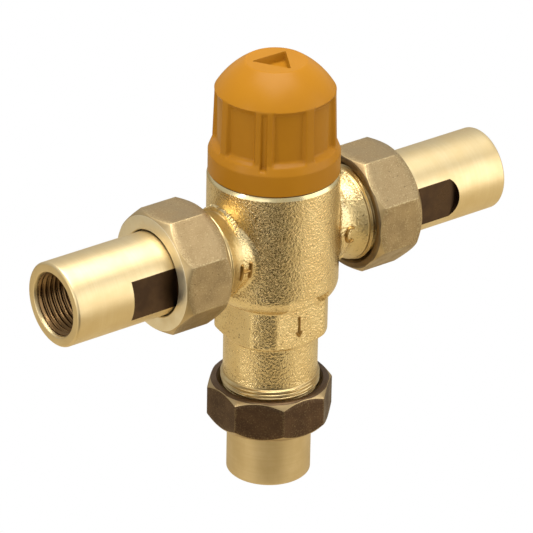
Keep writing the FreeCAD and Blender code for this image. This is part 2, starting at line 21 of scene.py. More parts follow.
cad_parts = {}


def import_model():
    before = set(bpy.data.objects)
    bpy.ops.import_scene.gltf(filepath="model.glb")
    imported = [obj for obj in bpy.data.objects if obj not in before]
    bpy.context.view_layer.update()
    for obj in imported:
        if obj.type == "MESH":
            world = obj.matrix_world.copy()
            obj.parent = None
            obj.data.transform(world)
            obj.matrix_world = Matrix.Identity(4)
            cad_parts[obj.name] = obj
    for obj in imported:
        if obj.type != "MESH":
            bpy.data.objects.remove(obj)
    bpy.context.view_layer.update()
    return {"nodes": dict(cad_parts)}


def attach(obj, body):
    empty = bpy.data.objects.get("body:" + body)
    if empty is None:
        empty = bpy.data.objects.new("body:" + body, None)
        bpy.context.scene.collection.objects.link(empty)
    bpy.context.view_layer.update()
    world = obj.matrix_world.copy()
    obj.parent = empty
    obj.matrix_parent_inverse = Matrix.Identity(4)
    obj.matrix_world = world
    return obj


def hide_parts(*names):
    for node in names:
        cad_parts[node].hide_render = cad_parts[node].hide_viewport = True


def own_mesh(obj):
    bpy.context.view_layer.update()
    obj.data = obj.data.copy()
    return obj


LOG = logging.getLogger("mixing_valve")
MM = 0.001
ARM_Z = 86.5  # height of the inlet axis above the outlet end
MERGE_M = 2e-7  # points nearer than this are one, in metres
RAY_NEAR = 9.0  # every ray is inside the forging by this distance
HALVINGS = 10  # of a ray's last step, down to a third of a micron
CREST_POWER = 1.3  # sharpens the crest of a thread's wave
Array = np.ndarray
Point = tuple[float, float]


# ------------------------------------------------------------------ small tools
def linear(hex_code: str) -> tuple[float, float, float, float]:
    """Turns an sRGB hex colour into a linear one.

    Args:
        hex_code: six hex digits.

    Returns:
        Linear red, green, blue and an alpha of 1.
    """
    parts = [int(hex_code[i:i + 2], 16) / 255 for i in (0, 2, 4)]
    red, green, blue = (
        c / 12.92 if c <= 0.04045 else ((c + 0.055) / 1.055) ** 2.4 for c in parts)
    return red, green, blue, 1.0


def add_node(tree: bpy.types.NodeTree, kind: str, settings: dict | None = None,
             inputs: dict | None = None) -> bpy.types.Node:
    """Adds one node with its settings and its input values or links.

    Args:
        tree: the node tree that gets the node.
        kind: the node's type name.
        settings: properties of the node itself.
        inputs: socket name or index to a value, or to an output socket to link.

    Returns:
        The new node.
    """
    node = tree.nodes.new(kind)
    for key, value in (settings or {}).items():
        setattr(node, key, value)
    for key, value in (inputs or {}).items():
        socket = node.inputs[key]
        if isinstance(value, bpy.types.NodeSocket):
            tree.links.new(value, socket)
        else:
            socket.default_value = value
    return node


def smooth_step(value: Array, low: float, high: float) -> Array:
    """Rises from 0 at low to 1 at high along 3t^2 - 2t^3."""
    t = np.clip((value - low) / (high - low), 0, 1)
    return t * t * (3 - 2 * t)


def smooth_min(first: Array, second: Array, blend: float) -> Array:
    """Lesser of two fields, with a round blend of the given length between them."""
    h = np.clip(0.5 + 0.5 * (second - first) / blend, 0, 1)
    return second * (1 - h) + first * h - blend * h * (1 - h)


def smooth_max(first: Array, second: Array, blend: float) -> Array:
    """Greater of two fields, with a round blend of the given length between them."""
    return -smooth_min(-first, -second, blend)


def softened(corners: Sequence[tuple[float, float]], radius: float, steps: int = 3,
             closed: bool = True) -> Array:
    """Polyline whose corners are cut by short quadratic curves.

    Each corner is replaced by points of the parabola whose control point is the
    corner and whose ends lie `radius` back along both sides, or a third of the
    side if that is less.

    Args:
        corners: points of the polyline.
        radius: how far back along each side the curve starts.
        steps: pieces in each curve.
        closed: whether the last point joins the first.

    Returns:
        Points as an array of shape (n, 2).
    """
    pts = np.asarray(corners, float)
    before, after = np.roll(pts, 1, axis=0), np.roll(pts, -1, axis=0)
    out = []
    for k, (p, a, b) in enumerate(zip(pts, before, after)):
        if not closed and k in (0, len(pts) - 1):
            out.append(p[None])
            continue
        la, lb = np.linalg.norm(a - p), np.linalg.norm(b - p)
        start = p + (a - p) * min(radius, la / 3) / la
        end = p + (b - p) * min(radius, lb / 3) / lb
        t = np.linspace(0, 1, steps + 1)[:, None]
        out.append((1 - t) ** 2 * start + 2 * t * (1 - t) * p + t ** 2 * end)
    return np.concatenate(out)


def spaced(points: Array, step: float) -> Array:
    """Adds points on a polyline so that none of its sides is longer than step.

    Args:
        points: points of the polyline.
        step: greatest length of a side.

    Returns:
        The points with the added ones between them.
    """
    out = [points[:1]]
    for a, b in zip(points[:-1], points[1:]):
        n = max(1, math.ceil(float(np.linalg.norm(b - a)) / step))
        out.append(a + (b - a) * np.linspace(0, 1, n + 1)[1:, None])
    return np.concatenate(out)


def nearest_offset(angle: Array, first: float, step: float) -> Array:
    """Signed angle to the nearest of the directions first, first + step and so on."""
    return (angle - first + step / 2) % step - step / 2


def rounded_polygon(theta: Array, sides: int, apothem: float, corner: float,
                    first: float) -> Array:
    """Radius of a regular polygon with rounded corners.

    On a flat it is a / cos(angle from the flat's middle); near a corner it is
    the far crossing of the ray with the corner's circle.

    Args:
        theta: angles about its middle, radians.
        sides: number of sides.
        apothem: distance from the middle to a flat.
        corner: radius of the corners.
        first: direction of one corner, radians.

    Returns:
        One radius for each angle.
    """
    step = 2 * math.pi / sides
    psi = nearest_offset(theta, first, step)
    phi = step / 2 - np.abs(psi)
    inner = apothem - corner
    centre = inner / math.cos(step / 2)
    edge = math.atan2(inner * math.tan(step / 2), apothem)
    inside = np.clip(corner ** 2 - (centre * np.sin(psi)) ** 2, 0, None)
    return np.where(phi < edge, apothem / np.cos(phi), centre * np.cos(psi) + np.sqrt(inside))


def surface_distance(solid: Callable[[Array | float], Array], shape: tuple[int, ...],
                     far: float, step: float) -> Array:
    """Distance at which rays that come in from far first meet a solid.

    The rays are scanned inwards together for their first point inside, and the
    step with the crossing in it is then halved HALVINGS times.

    Args:
        solid: field of the solid at a distance along the rays; negative inside.
        shape: shape of the array of rays.
        far: distance at which the scan starts.
        step: length of the scan's steps.

    Returns:
        Distances, in an array of the given shape.
    """
    low, high = np.full(shape, RAY_NEAR), np.full(shape, far)
    found = np.zeros(shape, bool)
    for reach in np.arange(far, RAY_NEAR, -step):
        inside = (solid(reach) < 0) & ~found
        low[inside], high[inside] = reach, reach + step
        found |= inside
    for _ in range(HALVINGS):
        middle = (low + high) / 2
        inside = solid(middle) < 0
        low, high = np.where(inside, middle, low), np.where(inside, high, middle)
    return (low + high) / 2


class Axis(Enum):
    """The axes that the turned pieces of the valve lie on."""

    HOT = "hot"
    COLD = "cold"
    OUTLET = "outlet"
    UP = "up"

    @property
    def sign(self) -> float:
        """Sense in which the axis runs: -1 for hot and outlet."""
        return 1.0 if self in (Axis.COLD, Axis.UP) else -1.0

    def place(self, r: Array, theta: Array, along: Array) -> Array:
        """Carries polar points about a local axis into the frame of the part.

        Args:
            r: distance from the axis.
            theta: angle about the axis, radians.
            along: distance outwards from the inlet axis; for UP, from the base.

        Returns:
            Points of shape (..., 3) in millimetres.
        """
        r, theta, along = np.broadcast_arrays(r, theta, along)
        x, y = r * np.cos(theta), r * np.sin(theta)
        if self is Axis.UP:
            return np.stack([x, y, along], -1)
        if self is Axis.OUTLET:
            return np.stack([x, -y, ARM_Z - along], -1)
        return np.stack([self.sign * along, y, ARM_Z - self.sign * x], -1)


def grid_piece(name: str, points: Array, finishes: Sequence[bpy.types.Material],
               choice: Array | int = 0, closed: bool = True, sharp: float = 35.0,
               marks: dict[str, Array] | None = None) -> bpy.types.Object:
    """Makes an object from a grid of points that wraps round its second axis.

    The grid is S(i, j): i runs along a profile and j round the piece.  Rows that
    shrink to a point become poles.

    Args:
        name: the object's name.
        points: array of shape (rows, columns, 3) in millimetres.
        finishes: materials of the piece.
        choice: index into finishes for each face, or one index for all.
        closed: whether the last row joins the first, as on a ring.
        sharp: angle in degrees above which an edge stays sharp.
        marks: named values for each point, for materials to read.

    Returns:
        The object, with its faces outwards.
    """
    rows, cols, _ = points.shape
    index = np.arange(rows * cols).reshape(rows, cols)
    low = index if closed else index[:-1]
    high = np.roll(index, -1, axis=0) if closed else index[1:]
    quads = np.stack([low, np.roll(low, -1, axis=1), np.roll(high, -1, axis=1), high], -1)
    faces = quads.reshape(-1, 4)
    flat = points.reshape(-1, 3) * MM
    a, b, c, d = (flat[faces[:, k]] - flat.mean(0) for k in range(4))
    volume = (a * (np.cross(b, c) + np.cross(c, d))).sum()  # six times the enclosed volume
    if volume < 0:
        faces = faces[:, ::-1]
    mesh = bpy.data.meshes.new(name)
    mesh.vertices.add(len(flat))
    mesh.vertices.foreach_set("co", flat.astype(np.float32).ravel())
    mesh.loops.add(faces.size)
    mesh.loops.foreach_set("vertex_index", faces.astype(np.int32).ravel())
    mesh.polygons.add(len(faces))
    mesh.polygons.foreach_set("loop_start", np.arange(0, faces.size, 4, dtype=np.int32))
    which = np.broadcast_to(choice, low.shape).astype(np.int32)
    mesh.polygons.foreach_set("material_index", which.ravel())
    for key, values in (marks or {}).items():
        layer = mesh.attributes.new(key, "FLOAT", "POINT")
        spread = np.broadcast_to(values, (rows, cols)).astype(np.float32)
        layer.data.foreach_set("value", spread.ravel())
    mesh.update(calc_edges=True)
    finish_mesh(mesh, sharp)
    for finish in finishes:
        mesh.materials.append(finish)
    piece = bpy.data.objects.new(name, mesh)
    bpy.context.scene.collection.objects.link(piece)
    return piece


def finish_mesh(mesh: bpy.types.Mesh, sharp: float) -> None:
    """Merges doubled points, drops empty faces and shades the mesh smooth.

    Args:
        mesh: the mesh to finish.
        sharp: angle in degrees above which an edge stays sharp.
    """
    work = bmesh.new()
    work.from_mesh(mesh)
    bmesh.ops.remove_doubles(work, verts=work.verts, dist=MERGE_M)
    bmesh.ops.dissolve_degenerate(work, edges=work.edges, dist=MERGE_M)
    work.to_mesh(mesh)
    work.free()
    mesh.polygons.foreach_set("use_smooth", np.ones(len(mesh.polygons), bool))
    mesh.set_sharp_from_angle(angle=math.radians(sharp))


@dataclass
class Rows:
    """Rows of a turned surface, gathered along its profile from edge to edge."""

    theta: Array
    made: list[tuple[Array, Array, int]] = field(default_factory=list)

    def add(self, r: Array | float, z: Array | float, finish: int = 0) -> None:
        """Adds one row; the finish is that of the band after it."""
        one = np.ones_like(self.theta)
        self.made.append((r * one, z * one, finish))

    def follow(self, profile: Sequence[Point] | Array, finish: int = 0) -> None:
        """Adds a row for each radius and level of a profile."""
        for r, z in profile:
            self.add(r, z, finish)

    def grids(self) -> tuple[Array, Array, Array]:
        """Gives the radii, the levels and the finish of each row's band."""
        r, z = (np.stack([item[k] for item in self.made]) for k in (0, 1))
        return r, z, np.array([item[2] for item in self.made])[:, None]

    def piece(self, name: str, axis: Axis, finishes: Sequence[bpy.types.Material],
              closed: bool = True, sharp: float = 35.0) -> bpy.types.Object:
        """Turns the rows into an object, as `grid_piece` does.

        Args:
            name: the object's name.
            axis: the axis that the rows turn about.
            finishes: materials of the piece.
            closed: whether the last row joins the first.
            sharp: angle in degrees above which an edge stays sharp.

        Returns:
            The object.
        """
        r, z, kinds = self.grids()
        return grid_piece(name, axis.place(r, self.theta[None], z), finishes,
                          kinds if closed else kinds[:-1], closed=closed, sharp=sharp)


# --------------------------------------------------------------------- finishes
WHITE = (1.0, 1.0, 1.0, 1.0)
NOISE_LOW, NOISE_HIGH = 0.35, 0.65  # most of a noise lies between these
FLECK_MM = 0.45  # size of the flecks of worn brass
EDGE_GAIN = 0.16  # how much thicker the flecks lie on an edge
LINE_STRETCH = 0.02  # tool lines are fifty times as long as they are wide


@dataclass(frozen=True)
class Finish:
    """A surface: what it is made of and how it was made.

    Colours are sRGB hex; sizes of the patterns are in millimetres.
    """

    name: str
    tone: str
    shade: str
    metallic: float = 1.0
    roughness: float = 0.35
    grain_mm: float = 0.5
    grain_depth_mm: float = 0.0
    pit_tone: str = ""
    pit_mm: float = 0.9
    pit_share: float = 0.42
    mottle_mm: float = 6.0
    mottle: float = 0.6
    rough_swing: float = 0.08
    lines_axis: int = 2
    lines_mm: float = 0.25
    lines_depth_mm: float = 0.0
    wear_tone: str = ""
    specular: float = 0.5
    subsurface: float = 0.0

    def make(self) -> bpy.types.Material:
        """Builds the material: mottled colour, pits, wear, tool lines and grain.

        Colour is a stack of tones laid over the base tone, each where its noise
        is strong; the bumps of tool lines and grain are chained.

        Returns:
            The material, reading Object coordinates.
        """
        material = bpy.data.materials.new(self.name)
        material.use_nodes = True
        tree = material.node_tree
        tree.nodes.clear()
        place = add_node(tree, "ShaderNodeTexCoord").outputs["Object"]
        mottle = add_node(tree, "ShaderNodeTexNoise", inputs={
            "Vector": place, "Scale": 1 / (self.mottle_mm * MM), "Detail": 4.0})
        spread = add_node(tree, "ShaderNodeMapRange", inputs={
            "Value": mottle.outputs["Fac"], "From Min": NOISE_LOW, "From Max": NOISE_HIGH,
            "To Min": 0.5 - self.mottle / 2, "To Max": 0.5 + self.mottle / 2})
        rough = add_node(tree, "ShaderNodeMapRange", inputs={
            "Value": mottle.outputs["Fac"], "From Min": 0.3, "From Max": 0.7,
            "To Min": self.roughness - self.rough_swing,
            "To Max": self.roughness + self.rough_swing})
        tones = [(spread, self.shade)]
        bumps = []
        if self.pit_tone:
            pits = add_node(tree, "ShaderNodeTexNoise", inputs={
                "Vector": place, "Scale": 1 / (self.pit_mm * MM), "Detail": 3.0})
            tones.append((add_node(tree, "ShaderNodeMapRange", inputs={
                "Value": pits.outputs["Fac"], "From Min": self.pit_share - 0.07,
                "From Max": self.pit_share + 0.03, "To Min": 0.75, "To Max": 0.0}), self.pit_tone))
        if self.wear_tone:
            # flecks of bare brass, thick on the edges and thin on the flats
            worn = add_node(tree, "ShaderNodeAttribute", {"attribute_name": "wear"})
            flecks = add_node(tree, "ShaderNodeTexNoise", inputs={
                "Vector": place, "Scale": 1 / (FLECK_MM * MM), "Detail": 2.0})
            gain = add_node(tree, "ShaderNodeMath", {"operation": "MULTIPLY_ADD"}, {
                0: worn.outputs["Fac"], 1: EDGE_GAIN, 2: flecks.outputs["Fac"]})
            tones.append((add_node(tree, "ShaderNodeMapRange", inputs={
                "Value": gain.outputs[0], "From Min": 0.56, "From Max": 0.72,
                "To Min": 0.0, "To Max": 0.8}), self.wear_tone))
        if self.lines_depth_mm:
            # tool lines run round the piece: the pattern changes only along its axis
            scale = [LINE_STRETCH] * 3
            scale[self.lines_axis] = 1.0
            squeezed = add_node(tree, "ShaderNodeMapping", inputs={
                "Vector": place, "Scale": tuple(scale)})
            lines = add_node(tree, "ShaderNodeTexNoise", inputs={
                "Vector": squeezed.outputs[0], "Scale": 1 / (self.lines_mm * MM),
                "Detail": 2.0, "Roughness": 0.6})
            tones.append((add_node(tree, "ShaderNodeMapRange", inputs={
                "Value": lines.outputs["Fac"], "From Min": NOISE_LOW, "From Max": NOISE_HIGH,
                "To Min": 0.0, "To Max": 0.35}), self.shade))
            bumps.append((lines, self.lines_depth_mm))
        if self.grain_depth_mm:
            bumps.append((add_node(tree, "ShaderNodeTexNoise", inputs={
                "Vector": place, "Scale": 1 / (self.grain_mm * MM), "Detail": 3.0,
                "Roughness": 0.55}), self.grain_depth_mm))
        colour = linear(self.tone)
        for strength, tone in tones:
            colour = add_node(tree, "ShaderNodeMix", {"data_type": "RGBA"}, {
                0: strength.outputs[0], 6: colour, 7: linear(tone)}).outputs[2]
        inputs = {"Base Color": colour, "Roughness": rough.outputs[0],
                  "Metallic": self.metallic, "Specular IOR Level": self.specular}
        normal = {}
        for height, depth in bumps:
            bump = add_node(tree, "ShaderNodeBump", inputs={
                "Height": height.outputs["Fac"], "Distance": depth * MM, "Strength": 1.0,
                **normal})
            normal = {"Normal": bump.outputs[0]}
        if self.subsurface:
            inputs.update({"Subsurface Weight": self.subsurface, "Subsurface Scale": 2 * MM})
        shader = add_node(tree, "ShaderNodeBsdfPrincipled", inputs={**inputs, **normal})
        add_node(tree, "ShaderNodeOutputMaterial", inputs={"Surface": shader.outputs[0]})
        return material


# hot-forged brass, shot-blasted: a fine orange peel with dark pits in it
FORGED = Finish("forged_brass", "EED9A6", "DFC288", roughness=0.2, grain_mm=0.8,
                grain_depth_mm=0.29, pit_tone="4A3517", pit_mm=0.7, pit_share=0.36,
                mottle=0.4, rough_swing=0.03)
FINE_FORGED = Finish("fine_forged_brass", "DEC892", "CCB078", roughness=0.34, grain_mm=0.8,
                     grain_depth_mm=0.26, pit_tone="4A3517", pit_mm=0.7, pit_share=0.35,
                     mottle=0.4, rough_swing=0.03)
# machined rim and spigots: bright, with tool lines round the axis
BRIGHT_RIM = Finish("machined_rim_brass", "F3E4B8", "E2CB8E", roughness=0.25,
                    lines_mm=0.3, lines_depth_mm=0.01)
# cast strokes: the forging's brass darkened, painted shade for the dark cores of the strokes
SHADED_LETTER = Finish("cast_letter_brass_painted_shade", "B08C50", "967440", roughness=0.36)
THREAD = Finish("cut_thread_brass", "DCC692", "BFA470", roughness=0.34,
                grain_mm=0.6, grain_depth_mm=0.02)
# nuts: forged and left with a brown skin, speckled where the scale came off
NUT_SKIN = Finish("nut_forging_skin", "AC956E", "957F5B", roughness=0.5, grain_mm=0.45,
                  grain_depth_mm=0.05, pit_tone="6B5A40", pit_mm=0.6, pit_share=0.34,
                  wear_tone="BDAA80")
# the outlet nut's skin: the side nuts' skin darkened, painted shade for the shade the nut lies in
# under the valve
SHADED_NUT_SKIN = Finish("painted_shade_nut_forging_skin", "624C39", "4D3A2B", roughness=0.5,
                       grain_mm=0.45, grain_depth_mm=0.05, pit_tone="382A1E",
                       pit_mm=0.6, pit_share=0.34, wear_tone="7F6C50")
NUT_MOUTH = Finish("nut_forged_mouth_face", "8A7656", "75634A", roughness=0.46,
                   grain_mm=0.5, grain_depth_mm=0.04)
# the outlet nut's mouth face, darkened: painted shade
SHADED_NUT_MOUTH = Finish("painted_shade_nut_forged_mouth_face", "705A42", "5E4A36", roughness=0.46,
                        grain_mm=0.5, grain_depth_mm=0.04)
# the outlet nut's machined face and bevel, darkened: painted shade
SHADED_NUT_FACE = Finish("painted_shade_nut_machined_face", "C0A87C", "A88E64", roughness=0.42)
NUT_FACE = Finish("nut_machined_face", "F5EACF", "E6D6B0", roughness=0.44,
                  grain_mm=0.5, grain_depth_mm=0.01)
NUT_BEVEL = Finish("nut_machined_bevel", "C8B084", "B39A6C", roughness=0.46)
NUT_BORE = Finish("nut_bore_brass", "8A7448", "6E5A36", roughness=0.45,
                  grain_mm=0.6, grain_depth_mm=0.03)
# tubes: satin turned rod, lines round the axis
TURNED_ARM = Finish("turned_tube_brass", "E6D2A4", "D8BF8C", roughness=0.42,
                    lines_axis=0, lines_mm=0.6, lines_depth_mm=0.008, mottle_mm=9.0,
                    rough_swing=0.03)
TURNED_DOWN = Finish("turned_outlet_brass", "DCC79C", "C6AE7E", roughness=0.42,
                     lines_mm=0.6, lines_depth_mm=0.008, mottle_mm=9.0,
                     rough_swing=0.03)
# the tapped thread deep in the port: cut brass darkened, painted shade of the bore
SHADED_PORT_THREAD = Finish("tapped_port_thread_painted_shade", "8C6F4A", "735838", roughness=0.30)
MILLED = Finish("oxidised_milled_brass", "5E4A38", "45352A", roughness=0.34,
                grain_mm=0.8, grain_depth_mm=0.02, mottle_mm=5.0)
# acrylonitrile cap, moulded with a fine spark-eroded sheen
CAP = Finish("moulded_orange_plastic", "A87118", "A06A16", metallic=0.0, roughness=0.34,
             grain_mm=0.5, grain_depth_mm=0.006, mottle_mm=14.0, mottle=0.5,
             rough_swing=0.03, specular=0.12)
CARTRIDGE_BRASS = Finish("machined_cartridge_brass", "DCC48A", "C4A868", roughness=0.28,
                         lines_mm=0.3, lines_depth_mm=0.01)
STEEL = Finish("drawn_stainless_steel", "C8C8C6", "B0B0AE", roughness=0.24,
               grain_mm=0.3, grain_depth_mm=0.005)
RUBBER = Finish("moulded_nitrile_rubber", "1E1E1E", "161616", metallic=0.0,
                roughness=0.6, grain_mm=0.3, grain_depth_mm=0.01)
FIBRE = Finish("pressed_fibre", "5A4A3C", "48392E", metallic=0.0, roughness=0.8,
               grain_mm=0.25, grain_depth_mm=0.03)
BLACK_ACETAL = Finish("moulded_black_acetal", "26272A", "1D1E20", metallic=0.0,
                      roughness=0.45, grain_mm=0.4, grain_depth_mm=0.01)
WHITE_ACETAL = Finish("moulded_white_acetal", "E8E6DF", "DAD8D0", metallic=0.0,
                      roughness=0.4, grain_mm=0.4, grain_depth_mm=0.008, subsurface=0.1)
COPPER = Finish("drawn_copper_cup", "C98B62", "B37750", roughness=0.3,
                lines_mm=0.3, lines_depth_mm=0.01)


class Palette:
    """Makes each finish once and hands it out by its description."""

    def __init__(self) -> None:
        """Starts empty."""
        self._made: dict[str, bpy.types.Material] = {}

    def get(self, finish: Finish) -> bpy.types.Material:
        """Returns the material of a finish, made on first use."""
        if finish.name not in self._made:
            self._made[finish.name] = finish.make()
        return self._made[finish.name]


# ------------------------------------------------------------------- the unions
class NutBand(IntEnum):
    """Finishes of a nut's bands, in the order of its materials."""

    SKIN = 0
    FACE = 1
    BORE = 2
    MOUTH = 3
    BEVEL = 4


class TubeBand(IntEnum):
    """Finishes of a tube's bands, in the order of its materials."""

    TURNED = 0
    FLAT = 1
    THREAD = 2


class NeckBand(IntEnum):
    """Finishes of a spigot's bands, in the order of its materials."""

    NECK = 0
    THREAD = 1


@dataclass
class Union:
    """A union on one axis: nut, collared tube and the spigot it draws up to."""

    axis: Axis
    nut_face: float
    nut_length: float
    turn: float
    reach: float
    flats_end: float | None = None
    cutter_r: float | None = None
    skin: Finish = NUT_SKIN
    face_finish: Finish = NUT_FACE
    bevel_finish: Finish = NUT_BEVEL
    mouth_finish: Finish = NUT_MOUTH
    tube_finish: Finish = TURNED_ARM
    neck_finish: Finish = FINE_FORGED
    nut_slot: str = "nut_brass"
    check: bool = True
    # spigot and neck
    spigot_from: float = 21.9
    spigot_bore: float = 11.4
    relief_from: float = 28.1
    neck_r: float = 15.88
    flare_to: float = 27.4
    flare_step: float = 0.3
    flare_proud: float = 0.02
    thread_r: float = 15.85
    thread_pitch: float = 1.27
    thread_depth: float = 0.75
    thread_steps: int = 10
    proud_crest: float = 16.45
    thread_end: float = 0.9
    relief_chamfer: tuple[float, float] = (0.15, 0.35)
    start_fade: float = 0.5
    sink: tuple[float, float] = (-0.2, 1.0)
    spigot_chamfer: float = 0.5
    bore_chamfer: float = 0.3
    # nut
    sides: int = 8
    across_flats: float = 39.2
    face_r: float = 19.2
    fall_per_mm: float = 1.1
    corner_round: float = 0.55
    edge_soft: float = 0.12
    skin_over: float = 0.1
    mouth_r: float = 17.5
    mouth_soft: tuple[float, float] = (0.25, 0.2)
    bore_gap: float = 0.05
    hole_gap: float = 0.5
    hole_chamfer: float = 0.3
    web: float = 3.2
    wear_deg: float = 1.1
    wear_mm: float = 0.25
    wear_ends: float = 0.7
    # tube and its port
    tube_r: float = 14.0
    tube_step_deg: float = 2.0
    collar_r: float = 15.2
    collar_t: float = 2.6
    collar_soft: float = 0.35
    gap: float = 0.05
    washer_t: float = 1.6
    end_chamfer: float = 0.55
    end_soft: float = 0.25
    flat_y: float = 12.2
    flats_after: float = 1.0
    port_r: float = 10.45
    port_mouth_r: float = 10.9
    port_lead: float = 1.0
    port_length: float = 16.0
    port_pitch: float = 1.814
    port_steps: int = 12
    port_ridge: float = 0.85
    port_fades: tuple[float, float] = (1.2, 2.0)
    waterway_r: float = 9.5
    cage_bore_r: float = 10.9
    cage_length: float = 14.75

    @property
    def label(self) -> str:
        """Word that the node names of this union start with."""
        return self.axis.value

    @property
    def collar_back(self) -> float:
        """Level of the collar's outer face, under the nut's web."""
        return self.nut_face - self.web - self.gap

    @property
    def spigot_end(self) -> float:
        """Level of the end of the body's spigot."""
        return self.collar_back - self.collar_t - self.washer_t - self.gap

    @property
    def corner_turn(self) -> float:
        """Direction of the nut's first corner, degrees."""
        return 180 / self.sides + self.turn * self.axis.sign

    def helix(self, theta: Array, along: float, pitch: float) -> Array:
        """Thread wave, 0 at the root and 1 at the crest.

        The wave is a raised cosine of the distance along the axis less the lead
        of a right-hand helix, sharpened a little at its crest.
        """
        phase = along / pitch - theta / (2 * math.pi)
        return (0.5 + 0.5 * np.cos(2 * math.pi * phase)) ** CREST_POWER

    def nut_angles(self) -> Array:
        """Angles round the nut, close together at its corners.

        Returns:
            Angles in radians, rising.
        """
        near = np.array([0.12, 0.35, 0.6, 0.9, 1.4, 2.5, 5, 9, 14, 19])
        offsets = np.concatenate([-near, near, [180 / self.sides]])
        corners = self.corner_turn + np.arange(self.sides) * 360 / self.sides
        return np.radians(np.sort(np.add.outer(corners, offsets).ravel()))

    def make_nut(self, palette: Palette) -> bpy.types.Object:
        """Builds the octagonal nut as one closed ring of profile rows.

        Its flats end where a cone cuts them, so each corner carries a bright
        curved chamfer at both faces.

        Args:
            palette: source of materials.

        Returns:
            The nut.
        """
        theta = self.nut_angles()
        first = math.radians(self.corner_turn)
        side = rounded_polygon(theta, self.sides, self.across_flats / 2, self.corner_round, first)
        face, back = self.nut_face, self.nut_face - self.nut_length
        fall = np.clip(side - self.face_r, 0, None) * self.fall_per_mm
        hole, bore = self.tube_r + self.hole_gap, self.thread_r + self.bore_gap
        soft, half_soft = self.edge_soft, self.edge_soft / 2
        rows = Rows(theta)
        rows.add(hole, face - self.hole_chamfer, NutBand.FACE)
        rows.add(hole + self.hole_chamfer, face, NutBand.FACE)
        rows.add(self.face_r - soft, face, NutBand.FACE)
        rows.add(self.face_r + half_soft, face - half_soft * self.fall_per_mm, NutBand.BEVEL)
        rows.add(side - soft, face - fall + soft * self.fall_per_mm, NutBand.BEVEL)
        rows.add(side, face - fall - soft)
        for share in (0.15, 0.5, 0.85):
            rows.add(side, (face - fall) * (1 - share) + (back + fall) * share)
        rows.add(side, back + fall + soft, NutBand.BEVEL)
        rows.add(side - soft, back + fall - soft * self.fall_per_mm, NutBand.BEVEL)
        brown = np.minimum(side - soft, self.across_flats / 2 + self.skin_over)
        rows.add(brown, back + np.clip(brown - self.face_r, 0, None) * self.fall_per_mm,
                 NutBand.MOUTH)
        rows.add(self.face_r + half_soft, back + half_soft * self.fall_per_mm, NutBand.MOUTH)
        rows.add(self.face_r - soft, back, NutBand.MOUTH)
        rows.add(self.mouth_r + self.mouth_soft[0], back, NutBand.MOUTH)
        rows.add(self.mouth_r, back + self.mouth_soft[1], NutBand.BORE)
        rows.add(bore, back + self.mouth_r - bore, NutBand.BORE)
        rows.add(bore, face - self.web, NutBand.BORE)
        rows.add(hole, face - self.web, NutBand.BORE)
        r, z, kinds = rows.grids()
        psi = np.degrees(nearest_offset(theta, first, 2 * math.pi / self.sides))
        ends = np.minimum(np.abs(z - (face - fall)), np.abs(z - (back + fall)))
        wear = np.maximum(np.exp(-(psi / self.wear_deg) ** 2)[None],
                          self.wear_ends * np.exp(-(ends / self.wear_mm) ** 2))
        finishes = (self.skin, self.face_finish, NUT_BORE, self.mouth_finish, self.bevel_finish)
        return grid_piece(
            self.label + "_union_nut_forging", self.axis.place(r, theta[None], z),
            [palette.get(finish) for finish in finishes], kinds, marks={"wear": wear}, sharp=28)

    def tube_angles(self) -> Array:
        """Angles round the tube, with lines on the edges of its flats.

        Returns:
            Angles in radians, rising.
        """
        edge = math.asin(self.flat_y / self.tube_r)
        special = [edge, math.pi - edge, math.pi + edge, 2 * math.pi - edge]
        plain = np.arange(0, 2 * math.pi - 1e-6, math.radians(self.tube_step_deg))
        keep = [t for t in plain if min(abs(t - s) for s in special) > 0.008]
        return np.sort(np.array(keep + special))

    def flat_radius(self, theta: Array) -> Array:
        """Tube radius where the two wrench flats cut it."""
        return np.minimum(self.tube_r, self.flat_y / np.maximum(np.abs(np.sin(theta)), 1e-6))

    def flat_limit(self, theta: Array) -> Array:
        """Level at which the flats end: straight, or the arc of a round cutter.

        Args:
            theta: angles about the tube.

        Returns:
            Distances along the tube.
        """
        if self.cutter_r is None:
            return np.full_like(theta, self.flats_end)
        reach = self.flat_radius(theta) * np.cos(theta)
        half = math.sqrt(self.tube_r ** 2 - self.flat_y ** 2)
        on_flat = np.abs(np.sin(theta)) * self.tube_r >= self.flat_y - 1e-6
        reach = np.where(on_flat, np.clip(reach, -half, half), half)
        return self.flats_end - self.cutter_r + np.sqrt(self.cutter_r ** 2 - reach ** 2)

